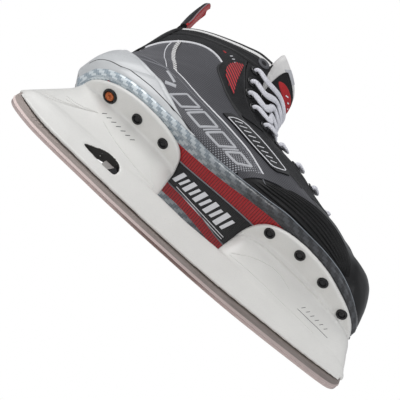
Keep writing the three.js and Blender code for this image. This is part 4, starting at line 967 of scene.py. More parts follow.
def build_outsole():
    n = 110
    L0, L5, L9 = boot_loop(1.6, n), boot_loop(5, n), boot_loop(9, n)
    bot = lambda x: SOLE(x) - 3.8
    P = [offset_loop(L0, -2.6, bot), offset_loop(L0, -1.1, lambda x: bot(x) + .12), offset_loop(L0, .3, lambda x: bot(x) + .6), offset_loop(L0, 1.2, lambda x: bot(x) + 1.5)]
    P += [offset_loop(L0, o, lambda x, q=q: SOLE(x) - 2.2 + (TRAY_H(x) + 2.2) * q) for o, q in ((1.75, .22), (1.95, .55), (1.9, .86), (1.65, .95), (1.2, 1.0), (.8, .95), (.75, .7), (.7, .4))]
    P += [offset_loop(L0, -.8, lambda x: SOLE(x) - .3)]
    V, F = loft(P)
    k = len(P[0])
    uv = np.zeros((len(V), 2))
    for i, Q in enumerate(P):
        half = len(Q) // 2
        a = np.concatenate([[0], np.cumsum(np.linalg.norm(np.diff(P[3][:half + 1], axis=0), axis=1))])
        b = a[1:-1][::-1]
        uv[i * k:(i + 1) * k, 0] = np.concatenate([a, b])
        hgt = [0, 1.5, 3, 4.2, 5.4, 6.6, 8, 8.5, 9, 9.6, 11, 13, 15][i]
        uv[i * k:(i + 1) * k, 1] = hgt + (4 if i else 4)
    uv[:k, 0], uv[:k, 1] = P[0][:, 0], P[0][:, 1]
    ob = new_obj("outsole_tray", V, F, [MAT["carbon_weave"]], None, uv)
    fix_normals(ob, 40)
    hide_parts("outsole")

    # bottom: woven field, two red ribbed bands and a black strip, each a thin inlay
    red_out_near = Pchip([30, 60, 99.5, 121.9, 145.2, 163.2, 187, 230, 262], [-19, -21, -22.0, -24.0, -27.4, -31.0, -34.0, -30, -18])
    red_out_far = Pchip([30, 60, 109, 127.2, 159, 187, 230, 262], [17, 19, 18.8, 17.6, 20.4, 25, 24, 14])
    blk_near = Pchip([30, 60, 110.8, 142.2, 169.2, 200, 262], [-8, -10, -12.1, -15.6, -18.0, -19, -10])
    blk_far = Pchip([30, 60, 111, 135.3, 164.5, 200, 262], [7, 8, 8.6, 8.0, 12.4, 14, 8])
    xs = np.linspace(34, 256, 150)

    def inlay(name, lo, hi, lift, mat, m=14, x=xs):
        q = np.linspace(0, 1, m)
        e = np.clip(np.minimum(q, 1 - q) / .05, 0, 1)
        y0, y1 = lo(x), hi(x)
        Y = lerp(y0[:, None], y1[:, None], q[None, :]) + centre_y(x)[:, None]
        X = np.broadcast_to(x[:, None], Y.shape)
        Z = bot(X) - lift * e[None, :] + .05 * (1 - e[None, :])
        P = np.stack([X, Y, Z], -1)
        return new_obj(name, P.reshape(-1, 3), grid_faces(len(x), m, flip=True), [mat], None, np.stack([X, Y], -1).reshape(-1, 2))

    inlay("sole_band_outer", red_out_near, blk_near, .28, MAT["red_ribbed"])
    inlay("sole_band_inner", blk_far, red_out_far, .28, MAT["red_ribbed"])
    inlay("sole_centre_strip", blk_near, blk_far, .42, MAT["black_lines"], 18)
    for nm, f in (("outer", blk_near), ("inner", blk_far)):
        x = np.linspace(34, 256, 160)
        c = f(x)
        inlay(f"sole_piping_{nm}", lambda a: f(a) - .45, lambda a: f(a) + .45, .7, MAT["mark_dim"], 7, x)
    # generic raised marks on the centre strip: slanted blocks and two thin rules
    parts = []
    base = lambda x: SOLE(x) - 3.8 - .42

    def block(xy, h=.35):
        xy = np.array(xy, float)
        xy[:, 1] += centre_y(xy[:, 0])
        n = len(xy)
        c = xy.mean(0)
        inner = c + (xy - c) * .93
        V = np.vstack([np.c_[xy, base(xy[:, 0]) + .1], np.c_[xy, base(xy[:, 0]) - h * .7], np.c_[inner, base(inner[:, 0]) - h]])
        F = [(i, (i + 1) % n, n + (i + 1) % n, n + i) for i in range(n)] + [(n + i, n + (i + 1) % n, 2 * n + (i + 1) % n, 2 * n + i) for i in range(n)] + [tuple(range(2 * n, 3 * n))]
        return V, F

    x = 112.0
    for k in range(10):
        w, g, sl = (3.4, 2.0)[k % 2] + .08 * k, 2.1, 3.6
        y0, y1 = float(blk_near(x + 4)) * (.60, .50)[k % 2], float(blk_far(x + 4)) * (.42, .30)[k % 2]
        parts.append(block([(x + sl, y0), (x + w + sl, y0), (x + w, y1), (x, y1)]))
        x += w + g
    for k, (a, b) in enumerate(((118, 166), (126, 166))):
        yy = [4.6, 6.4][k] * (1 + .002 * a)
        parts.append(block([(a, yy), (b, yy + 1.6), (b, yy + 2.3), (a, yy + .6)], .2))
    V, F = join_geo(parts)
    ob = new_obj("sole_marks", V, F, [MAT["mark_white"]], smooth=False)
    fix_normals(ob, 30)


# ------------------------------------------------------------------ blade holder
FLANGE_T = 3.8


def flange_z(x):
    return SOLE(x) - 3.8 - .3


REAR_PLAN = Pchip([0, .02, .06, .13, .25, .38, .52, .68, .8, .9, .96, 1], [0, 6.5, 12.5, 18, 23.3, 26.2, 27.3, 26.6, 24.6, 21, 15, 0])
FRONT_PLAN = Pchip([0, .01, .05, .12, .18, .28, .4, .55, .7, .82, .91, .96, 1], [0, 9, 21.5, 30.5, 34, 37, 38, 36.5, 31.5, 26, 19, 12, 0])
BRIDGE_TOP = 32.0
IFACE = Pchip([0, 33, 63, 97, 132, 167, 220, 251, 285], [19.4, 10.6, 8.7, 7.2, 6.5, 6.8, 10.4, 13.1, 18.0])
BOTTOM = np.array([[0.6, 14.2], [1.6, 11.2], [4.5, 8.6], [11.9, 5.8], [26.6, 2.9], [45, 1.4], [70, 0.2], [98, -.95], [130, -1.5], [158, -1.5], [190, -.7], [222, 1.6], [252, 4.6], [272, 6.9], [280, 8.6], [284, 11.6], [285.3, 15.4]])
POST_X, HOOK_X, HOOK_Z = 77.5, 262.0, 29.5


def plan_loop(x0, x1, wf, zf, n, yf):
    t = (1 - np.cos(np.pi * np.arange(n + 1) / n)) / 2
    x = lerp(x0, x1, t)
    w = np.asarray(wf(x, t), float).copy()
    w[0] = w[-1] = 0
    y, z = yf(x), zf(x)
    R, L = np.stack([x, y - w, z + 0 * x], 1), np.stack([x, y + w, z + 0 * x], 1)
    return np.vstack([R, L[-2:0:-1]])


def tower_loops(x0, x1, plan, levels, xl0, xl1, n, yf, fillet):
    lv = Pchip([l[0] for l in levels], [l[1:] for l in levels])
    zl = BRIDGE_TOP - 4
    pk = max(float(plan(u)) for u in (.3, .4, .5))
    out = []

    def loop(dx0, dx1, w, mix, zf):
        xa, xb = lerp(xl0, x0, dx0), lerp(xl1, x1, dx1)

        def wf(x, u):
            flat = w * np.clip(1 - np.abs(2 * u - 1) ** 5, 0, None) ** (1 / 2.2)
            return lerp(flat, plan(u) * w / pk, mix)
        return plan_loop(xa, xb, wf, zf, n, lambda x: yf(x) * mix)

    for t in np.linspace(0, .94, 12):
        a = lv(np.array(t))
        out.append(loop(a[0], a[1], a[2], a[3], lambda x, t=t: lerp(zl, flange_z(x) - FLANGE_T, t)))
    a = lv(np.array(levels[-1][0]))
    for ang in (0, 18, 36, 54, 72, 90):
        r = math.radians(ang)
        out.append(loop(lerp(a[0], .985, .25 * (1 - math.cos(r))), lerp(a[1], .985, .25 * (1 - math.cos(r))), a[2] + fillet * (1 - math.cos(r)), min(1, a[3] + .45 * (1 - math.cos(r))),
                        lambda x, r=r: flange_z(x) - FLANGE_T - fillet * (1 - math.sin(r))))
    W = 27.3 if x0 < 100 else 38.0
    for dw, dz in ((1.3, 0.0), (.5, .25), (.1, .8), (0, 1.6), (0, FLANGE_T - .5), (.4, FLANGE_T - .05)):
        out.append(loop(1 - dw * .008, 1 - dw * .008, W - dw, 1.0, lambda x, dz=dz: flange_z(x) - FLANGE_T + dz))
    return out


def prism(outline, y0, y1):
    o = np.asarray(outline, float)
    n = len(o)
    V = np.vstack([np.c_[o[:, 0], np.full(n, y0), o[:, 1]], np.c_[o[:, 0], np.full(n, y1), o[:, 1]]])
    F = [(i, (i + 1) % n, n + (i + 1) % n, n + i) for i in range(n)] + [tuple(range(n))[::-1], tuple(range(n, 2 * n))]
    return V, F


def temp_obj(name, V, F):
    ob = new_obj(name, V, F, body=None, smooth=False)
    bm = bmesh.new()
    bm.from_mesh(ob.data)
    bmesh.ops.remove_doubles(bm, verts=bm.verts, dist=2e-6)
    bmesh.ops.triangulate(bm, faces=[f for f in bm.faces if len(f.verts) > 4])
    bmesh.ops.recalc_face_normals(bm, faces=bm.faces)
    bm.to_mesh(ob.data)
    bm.free()
    return ob


def apply_mods(ob):
    dg = bpy.context.evaluated_depsgraph_get()
    dg.update()
    me = bpy.data.meshes.new_from_object(ob.evaluated_get(dg), depsgraph=dg)
    ob.modifiers.clear()
    old = ob.data
    ob.data = me
    bpy.data.meshes.remove(old)
    return ob


def boolean(ob, other, op):
    m = ob.modifiers.new("b", "BOOLEAN")
    m.object, m.operation, m.solver = other, op, "EXACT"
    apply_mods(ob)
    me = other.data
    bpy.data.objects.remove(other)
    bpy.data.meshes.remove(me)


WINDOW = smooth_path([[54.5, 21.7], [60, 20.0], [82.5, 17.9], [84.8, 19.8], [83.6, 26.8], [77.4, 30.8], [70.5, 30.6], [62.5, 26.6], [54.5, 21.7]], 1.6, 1)[:-1]


def build_holder():
    rear = [[0, 0, 0, 4.6, 0], [.35, .38, .25, 5.3, 0], [.6, .66, .5, 6.2, 0], [.85, .9, .82, 7.0, 0], [.985, .95, .93, 7.8, .1]]
    front = [[0, 0, 0, 4.6, 0], [.35, .25, .42, 6.4, 0], [.6, .5, .7, 9.2, .1], [.85, .78, .88, 13.5, .3], [.985, .9, .95, 18.5, .6]]
    ob = temp_obj("holder_body", *loft(tower_loops(21, 111, REAR_PLAN, rear, 1.5, 114, 48, lambda x: 0 * x, 2.2)))
    fr = temp_obj("holder_front", *loft(tower_loops(171, 279, FRONT_PLAN, front, 167, 285, 48, centre_y, 3.0)))
    top = Pchip([0, 8, 25, 113, 140, 169, 262, 280, 286], [24.5, 31, 33, 33.2, BRIDGE_TOP, 33.2, 33, 30.5, 26])
    bar = []
    for k, f in ((0, 3.75), (.02, 3.95), (.2, 4.1), (.35, 4.3), (.6, 4.75), (.8, 5.0), (.93, 4.95), (1, 4.2)):
        bar.append(plan_loop(-.4, 286.4, lambda x, t, f=f: f * np.clip(1 - np.abs(2 * t - 1) ** 14, 0, None) ** .5, lambda x, k=k: lerp(IFACE(x), top(x), k), 60, lambda x: 0 * x))
    br = temp_obj("holder_bar", *loft(bar))
    boolean(ob, fr, "UNION")
    boolean(ob, br, "UNION")
    gx = np.array([-3, 1.2, 16, 33, 50, 68.5, 84.5, 97, 115, 132, 150, 167, 195, 220, 240, 254, 262, 268.2, 275, 284.6, 289])
    gz = IFACE(np.clip(gx, 0, 285))
    groove = np.vstack([np.c_[gx, gz - 6], np.c_[gx, gz + 3.0 + np.where(gx > 250, 1.3, .1)][::-1]])
    boolean(ob, temp_obj("cut", *prism(groove, -1.8, 1.8)), "DIFFERENCE")
    boolean(ob, temp_obj("cut", *prism(WINDOW, -30, 30)), "DIFFERENCE")
    boolean(ob, temp_obj("cut", *prism([[68.5, 15.6], [103.5, 15.6], [103.5, 30.4], [68.5, 30.4]], -3.3, 3.3)), "DIFFERENCE")
    boolean(ob, temp_obj("cut", *prism([[66.5, 9], [86.5, 9], [86.5, 30.4], [66.5, 30.4]], -1.8, 1.8)), "DIFFERENCE")
    boolean(ob, temp_obj("cut", *prism([[HOOK_X - 9.5, 12], [HOOK_X + 9, 12], [HOOK_X + 9, HOOK_Z + 8.2], [HOOK_X - 9.5, HOOK_Z + 8.2]], -1.8, 1.8)), "DIFFERENCE")
    m = ob.modifiers.new("r", "REMESH")
    m.mode, m.voxel_size, m.use_smooth_shade = "VOXEL", .00075, True
    s = ob.modifiers.new("s", "SMOOTH")
    s.factor, s.iterations = .5, 5
    apply_mods(ob)
    ob.data.materials.clear()
    ob.data.materials.append(MAT["holder_plastic"])
    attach(ob, "boot")
    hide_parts("holder")
    return ob


def cast_on(ob, P, D):
    """points and normals where rays from P along D meet the object (design mm)"""
    from mathutils.bvhtree import BVHTree
    if not hasattr(cast_on, "tree") or cast_on.name != ob.name:
        bm = bmesh.new()
        bm.from_mesh(ob.data)
        cast_on.tree, cast_on.name = BVHTree.FromBMesh(bm), ob.name
        bm.free()
    Q, N = [], []
    for p in P:
        h = cast_on.tree.ray_cast(Vector(row(p)), Vector(D))
        if h[0] is None:
            continue
        Q.append(np.array(h[0]) * 1000 - SHIFT)
        N.append(np.array(h[1]))
    return np.array(Q), np.array(N)


def holder_details(ob):
    """moulded ridges, crease lines and small generic printed marks on both sides of the holder"""
    ridge, print_ = [], []
    for side in (-1, 1):
        y = side * 60
        D = (0, -side, 0)

        def line(xz, w, h, out, step=1.2, rounds=1, **kw):
            path = smooth_path(xz, step, rounds)
            P, N = cast_on(ob, np.c_[path[:, 0], np.full(len(path), y), path[:, 1]], D)
            if len(P) > 3:
                N = N * 1.0
                for _ in range(3):
                    N[1:-1] = (N[:-2] + N[1:-1] + N[2:]) / 3
                N /= np.linalg.norm(N, axis=1, keepdims=True)
                out.append(ribbon(P, N, w, h, n=7, base=-.4, **kw))

        # nested arrow on the heel of the bar
        line([(10, 33.5), (22, 37.5), (36, 46), (44, 53)], .8, .45, ridge)
        line([(14, 31), (28, 39.5), (38, 47), (45, 53)], .6, .4, ridge)
        line([(22, 45.5), (32, 46), (44.5, 52.8)], .7, .4, ridge)
        line([(24, 42.5), (33, 44.5), (42, 50)], .5, .35, ridge)
        # long creases that run from the bar up to the flanges
        line([(52, 50), (66, 44), (80, 40), (95, 37), (108, 36)], .9, .35, ridge)
        line([(96, 50), (101, 42), (108, 37.5)], .7, .3, ridge)
        line([(176, 38), (190, 46), (208, 49), (222, 45)], .9, .35, ridge)
        line([(176, 36), (200, 35.5), (226, 34), (252, 33)], .8, .3, ridge)
        # slanted dashes printed high on the rear tower and on the front tower
        for k in range(7):
            x = 47 + k * 4.4
            line([(x, 55.2 - .18 * k), (x + 2.4, 58.2 - .18 * k)], .95, .18, print_, .6, 0)
        for k in range(6):
            x = 236 + k * 4.1
            line([(x, 41.0 - .1 * k), (x + 1.9, 43.2 - .1 * k)], .6, .15, print_, .6, 0)
        line([(234, 38.6), (252, 38.0), (262, 37.6)], .6, .15, print_, .8, 0)
    ribbon_obj("holder_ridges", ridge, MAT["holder_plastic"])
    ribbon_obj("holder_marks", print_, MAT["print_black"])


def paint_window_shade(ob):
    """the walls inside the finger window get a dark grey material, painted shade in the opening"""
    me = ob.data
    me.materials.append(MAT["window_painted_shade"])
    n = len(me.polygons)
    cen, nor, mi = np.empty(n * 3), np.empty(n * 3), np.zeros(n, np.int32)
    me.polygons.foreach_get("center", cen)
    me.polygons.foreach_get("normal", nor)
    me.polygons.foreach_get("material_index", mi)
    cen, nor = cen.reshape(-1, 3) * 1000 - SHIFT, nor.reshape(-1, 3)
    inside = (cen[:, 0] > 39) & (cen[:, 0] < 95) & (cen[:, 2] > 17) & (cen[:, 2] < 50) & (np.abs(nor[:, 1]) < .6) & (np.abs(cen[:, 1]) < 8.6)
    mi[inside] = len(me.materials) - 1
    me.polygons.foreach_set("material_index", mi)


def build_runner():
    d = np.concatenate([[0], np.cumsum(np.linalg.norm(np.diff(BOTTOM, axis=0), axis=1))])
    bz = Pchip(d, BOTTOM)
    t = np.unique(np.concatenate([np.linspace(0, d[-1], 230), np.linspace(0, 18, 30), d[-1] - np.linspace(0, 18, 30)]))
    B = bz(t)
    topz = IFACE(np.clip(B[:, 0], 1.2, 284.6)) + 2.7
    top = np.c_[np.clip(B[:, 0], 1.2, 284.6), np.maximum(topz, B[:, 1] + .5)]
    # section: hollow-ground edge, small chamfers, flat sides
    qs = [0, .012, .03, .18, .4, .7, 1]
    sec = [(0, -.75, .32), (0, -1.42, 0), (.25, -1.5, 0)]
    V, uv, nsec = [], [], 0
    H = top - B
    Hn = np.linalg.norm(H, axis=1)
    ring = []
    for y, lift, q in [(0, .32, 0), (-.75, .2, 0), (-1.40, 0, 0), (-1.5, .15, 0)] + [(-1.5, 0, q) for q in (.1, .25, .5, .75, 1)] + [(1.5, 0, q) for q in (1, .75, .5, .25, .1)] + [(1.5, .15, 0), (1.40, 0, 0), (.75, .2, 0)]:
        P = np.c_[B[:, 0], np.full(len(B), y), B[:, 1]]
        dirn = H / Hn[:, None]
        P[:, 0] += dirn[:, 0] * (lift + q * Hn)
        P[:, 2] += dirn[:, 1] * (lift + q * Hn)
        ring.append(P)
        uv.append(np.c_[t, np.full(len(t), 0) + lift + q * Hn + (3.2 * (1 - 0) * 0)])
    R = np.stack(ring, 1)
    U = np.stack(uv, 1)
    n, k = R.shape[:2]
    V = list(R.reshape(-1, 3))
    F = grid_faces(n, k, closed_v=True)
    F += [tuple(range(k))[::-1], tuple((n - 1) * k + i for i in range(k))]
    V = np.array(V)
    ob = new_obj("runner_blade", V, F, [MAT["blade_steel"]], None, U.reshape(-1, 2), body="runner")
    fix_normals(ob, 30)
    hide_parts("runner")
    # latch post and front hook
    a = [(math.radians(v)) for v in np.linspace(230, -50, 25)]
    hook = [(HOOK_X + 6 * math.cos(q), HOOK_Z + 6 * math.sin(q)) for q in a[::-1]]
    # the claw follows the pin and opens towards the toe
    tz = lambda x: float(IFACE(x)) + 2.7
    R0, R1 = 3.1, 6.0
    claw = [(HOOK_X - 8, tz(HOOK_X - 8)), (HOOK_X + 6.2, tz(HOOK_X + 6.2)), (HOOK_X + 6.2, HOOK_Z - 3.4), (HOOK_X + 2.6, HOOK_Z - 3.4)]
    claw += [(HOOK_X + R0 * math.cos(math.radians(-80 - q * 12)), HOOK_Z + R0 * math.sin(math.radians(-80 - q * 12))) for q in range(17)]
    claw += [(HOOK_X + 1.2, HOOK_Z + R0 + .15), (HOOK_X + 5.4, HOOK_Z + R0 + .15), (HOOK_X + 5.4, HOOK_Z + R1)]
    claw += [(HOOK_X + R1 * math.cos(math.radians(90 + q * 9)), HOOK_Z + R1 * math.sin(math.radians(90 + q * 9))) for q in range(13)]
    post = [(POST_X - 9, tz(POST_X - 9)), (POST_X + 7, tz(POST_X + 7)), (POST_X + 3.2, 14.5), (POST_X + 3.2, 17.6), (POST_X - 0.2, 18.8), (POST_X + 3.1, 27.0), (POST_X - 4.6, 27.2), (POST_X - 5.6, 14.5)]
    V, F = join_geo([prism(claw, -1.5, 1.5), prism(post, -1.5, 1.5)])
    o = new_obj("runner_posts", V, F, [MAT["bright_steel"]], body="runner", smooth=False)
    fix_normals(o, 30)
    # small stamped dashes near the heel of the blade
    parts = []
    for side in (-1, 1):
        for k in range(4):
            x = 19 + k * 3.2
            z = 9.3 - .22 * k
            P = np.array([(x, side * 1.5, z), (x + .8, side * 1.5, z + 1.0), (x + 1.5, side * 1.5, z + 1.9)])
            parts.append(ribbon(P, np.tile([0, side, 0], (3, 1)), .6, .06, n=3, base=-.05))
    ribbon_obj("runner_marks", parts, MAT["print_black"], body="runner")


# ------------------------------------------------------------------ rivets
def rivet_spots():
    near = [(42.6, -13.2), (67.4, -15.2), (91.9, -15.6), (186.7, -26), (211.4, -30), (235.2, -26), (259.6, -16.6)]
    for i, (x, y) in enumerate(near):
        tag = f"rear_{i + 1}" if i < 3 else f"front_{i - 2}"
        yield "right", tag, x, y, i
        yield "left", tag, x, float(2 * centre_y(x)) - y, i


def build_rivets():
    for side, tag, x, y, i in rivet_spots():
        slope = (float(flange_z(x + 1)) - float(flange_z(x - 1))) / 2
        nrm = np.array([slope, 0, -1.0])
        nrm /= np.linalg.norm(nrm)
        o = np.array([x, y, float(flange_z(x)) - FLANGE_T])
        copper = side == "right" and i == 0
        # washer ring with a dished centre and a turned rivet head inside
        ring = [(2.2, -.6), (3.8, -.6), (4.1, -.1), (4.1, .5), (3.9, 1.0), (3.4, 1.35), (2.8, 1.3), (2.4, .9), (2.2, .3), (2.1, -.3)]
        head = [(0, .15), (.5, .15), (.8, .35), (1.3, .5), (1.8, .45), (2.1, .25), (2.3, .0), (2.35, -.4), (0, -.4)]
        if copper:
            head = [(0, .6), (.45, .6), (.8, 1.15), (1.7, 1.75), (2.7, 1.75), (3.3, 1.3), (3.55, .6), (3.6, -.4), (0, -.4)]
            ring = [(3.5, -.6), (5.3, -.6), (5.6, -.1), (5.6, .5), (5.3, 1.0), (4.7, 1.3), (4.1, 1.25), (3.75, .9), (3.6, .3), (3.5, -.3)]
        V, F = lathe(ring + ring[:1], 48)
        r = new_obj(f"rivet_ring_{side}_{tag}", place(V, o, nrm), F, [MAT["black_gloss"]])
        fix_normals(r, 40)
        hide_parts(f"rivet_{side}_{tag}")
        V, F = lathe(head, 40)
        h = new_obj(f"rivet_head_{side}_{tag}", place(V, o, nrm), F, [MAT["copper_metal"] if copper else MAT["black_soft"]])
        fix_normals(h, 40)


# ------------------------------------------------------------------ tongue
def catmull(P, n):
    """centripetal Catmull-Rom through the points, n samples per span"""
    P = np.asarray(P, float)
    Q = np.vstack([2 * P[0] - P[1], P, 2 * P[-1] - P[-2]])
    out = []
    for i in range(1, len(Q) - 2):
        p0, p1, p2, p3 = Q[i - 1], Q[i], Q[i + 1], Q[i + 2]
        d = [max(np.linalg.norm(b - a) ** .5, 1e-4) for a, b in ((p0, p1), (p1, p2), (p2, p3))]
        t0, t1 = 0, d[0]
        t2, t3 = t1 + d[1], t1 + d[1] + d[2]
        for t in np.linspace(t1, t2, n, endpoint=False):
            A1 = (t1 - t) / (t1 - t0) * p0 + (t - t0) / (t1 - t0) * p1
            A2 = (t2 - t) / (t2 - t1) * p1 + (t - t1) / (t2 - t1) * p2
            A3 = (t3 - t) / (t3 - t2) * p2 + (t - t2) / (t3 - t2) * p3
            B1 = (t2 - t) / (t2 - t0) * A1 + (t - t0) / (t2 - t0) * A2
            B2 = (t3 - t) / (t3 - t1) * A2 + (t - t1) / (t3 - t1) * A3
            out.append((t2 - t) / (t2 - t1) * B1 + (t - t1) / (t2 - t1) * B2)
    out.append(P[-1])
    return np.array(out)


RIDGE = catmull([[225, 128.5], [217, 132], [205, 136.5], [194, 141], [179, 149.5], [165, 157.5], [153, 165.5], [145.5, 176], [141.5, 190], [140, 204], [139.6, 218], [139.8, 233]], 24)
_RL = np.concatenate([[0], np.cumsum(np.linalg.norm(np.diff(RIDGE, axis=0), axis=1))])
_RL /= _RL[-1]
_RT = np.gradient(RIDGE, axis=0)
_RT /= np.linalg.norm(_RT, axis=1, keepdims=True)
T_HALF = Pchip([0, .3, .5, .6, .78, .86, .93, 1], [16.5, 19, 20.8, 22.3, 24.5, 26, 33, 37])
T_DEPTH = Pchip([0, .3, .5, .62, .75, .86, 1], [11, 16, 22, 29, 32, 32, 31])


def tongue_at(u, y, off=0.0):
    u, y, off = np.broadcast_arrays(np.asarray(u, float), np.asarray(y, float), np.asarray(off, float))
    x, z = np.interp(u, _RL, RIDGE[:, 0]), np.interp(u, _RL, RIDGE[:, 1])
    tx, tz = np.interp(u, _RL, _RT[:, 0]), np.interp(u, _RL, _RT[:, 1])
    n = np.stack([tz, 0 * tz, -tx], -1)
    W, D = T_HALF(u), T_DEPTH(u)
    q = np.abs(y) / W
    f = lambda k: np.minimum(k, 1.02) ** 2.3
    slope = D * (f(q + .01) - f(q)) / .01 / W
    nn = n.copy()
    nn[..., 1] = np.sign(y + 1e-9) * slope
    nn /= np.linalg.norm(nn, axis=-1, keepdims=True)
    P = np.stack([x, 0 * x, z], -1) - n * (D * f(q))[..., None]
    P[..., 1] = y + centre_y(P[..., 0])
    return P + nn * off[..., None], nn


def tongue_sheet(name, u, wf, off, thick, mats, m=60, body="boot", edge=1.6, relief=None):
    q = np.sin(np.linspace(-1, 1, m) * math.pi / 2)
    U = np.broadcast_to(u[:, None], (len(u), m))
    W = (wf(u) if callable(wf) else T_HALF(u) * wf)[:, None]
    Y = q[None, :] * W
    P, N = tongue_at(U, Y)
    drop, d = border_drop(P, edge, "abcd")
    o = off - drop
    if relief is not None:
        o = o + relief(U, Y, P, d)
    A, _ = tongue_at(U, Y, o)
    B, _ = tongue_at(U, Y, off - thick + drop * .5)
    ob = shell_obj(name, A, B, np.stack([arc(P, 0), Y], -1), mats, body=body)
    return ob


def build_tongue():
    M = MAT
    us = float(np.interp(212.0, RIDGE[:, 1][120:], _RL[120:]))
    # felt body and felt flap in one soft piece, curved along the ridge of the tongue
    u = np.concatenate([np.linspace(0, .8, 90), np.linspace(.81, .985, 50), 1 - np.array([.012, .009, .006, .003, .0015, 0])])
    rng = np.random.default_rng(4)
    felt = tongue_sheet("tongue_felt", u, 1.0, -1.0, 6.6, [M["white_felt"]], 90, body=None, edge=3.0,
                        relief=lambda U, Y, P, d: .25 * np.sin(P[..., 2] * .35 + Y * .1) * np.clip(d / 6, 0, 1))
    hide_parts("tongue", "tongue_flap")
    # black cover with a rounded top, sewn on the felt
    top_u = .955
    cov_u = np.concatenate([np.linspace(.01, .80, 70), np.linspace(.81, top_u, 50)])
    wf = lambda uu: T_HALF(uu) * .93 * np.where(uu > .80, np.sqrt(np.clip(1 - (np.clip(uu - .80, 0, 1) / (top_u + .004 - .80)) ** 2.6, 0, 1)) * .10 + .86, .96)
    cover = tongue_sheet("tongue_cover_black", cov_u, wf, .15, 1.0, [M["black_leather"]], 70, body=None, edge=.7,
                         relief=lambda U, Y, P, d: -.35 * np.exp(-((d - 2.6) / .5) ** 2))
    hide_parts("tongue_cover")
    # red label lying across the tongue, rounded ends
    n1, n2 = 40, 90
    th = np.linspace(0, 2 * math.pi, 120, endpoint=False)

    def oval(k):
        y = 23.5 * np.sign(np.cos(th)) * np.abs(np.cos(th)) ** .75
        uu = .893 + .036 * np.sign(np.sin(th)) * np.abs(np.sin(th)) ** .8
        return .893 + (uu - .893) * k, y * k
    V, U = [], []
    ks = [1.0, .985, .95, .85, .65, .4, .15]
    hs = [.0, .55, .8, .9, .95, 1.0, 1.0]
    for k, h in zip(ks, hs):
        uu, y = oval(k)
        P, _ = tongue_at(uu, y, h - .1)
        V.append(P)
        U.append(np.c_[y, (uu - .9) * 150])
    c, _ = tongue_at(np.array([.893]), np.array([0.0]), .9)
    V = np.concatenate(V + [c])
    U = np.concatenate(U + [[[0, 0]]])
    F = grid_faces(len(ks), 120, closed_v=True) + [(6 * 120 + i, 6 * 120 + (i + 1) % 120, 7 * 120) for i in range(120)]
    lab = new_obj("tongue_label", V, F, [M["red_cloth"]], None, U, body="tongue_top")
    fix_normals(lab, 60)
    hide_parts("tongue_badge")
    marks = []
    for k in range(9):
        y = (k - 4) * 4.1
        uu = np.array([.886, .900])
        P, N = tongue_at(uu, np.array([y - .5, y + .5]), .88)
        P = resample(P, .8)
        marks.append(ribbon(P, np.tile(N.mean(0), (len(P), 1)), 1.3, .16, n=4, base=-.1))
    ribbon_obj("tongue_label_marks", marks, M["mark_white"], body="tongue_top")
    # light zigzag trim under the label
    zz = []
    pts = [(.842, -20), (.862, -15), (.842, -10), (.862, -5), (.842, 0), (.862, 5), (.842, 10), (.862, 15), (.842, 20)]
    a = smooth_path(np.array(pts) * [100, 1], .8, 1)
    P, N = tongue_at(a[:, 0] / 100, a[:, 1], .2)
    zz.append(ribbon(P, N, 1.6, .35, n=5))
    P, N = tongue_at(a[:, 0] / 100 - .016, a[:, 1], .2)
    zz.append(ribbon(P, N, .9, .3, n=5))
    zo = ribbon_obj("tongue_zigzag", zz, M["mark_grey"], body=None)
    # blank woven size tag on the near top corner
    tag = []
    for sgn in (-1,):
        th2 = np.linspace(0, 1, 12)
        yy = np.linspace(-30, -22, 10)
        UU, YY = np.meshgrid(np.linspace(.945, .985, 12), yy, indexing="ij")
        P, N = tongue_at(UU, YY, -.55)
        Q, _ = tongue_at(UU, YY, -1.4)
        tg = shell_obj("tongue_tag", P, Q, np.stack([arc(P, 0), YY], -1), [M["mark_grey"]], body="tongue_top")
    a0, b0 = row([140.6, 0, 205.5]), row([140.6, 0, 220.5])
    for ob in (felt, cover, zo):
        tuple(a0)
        tuple(b0)
        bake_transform(ob)


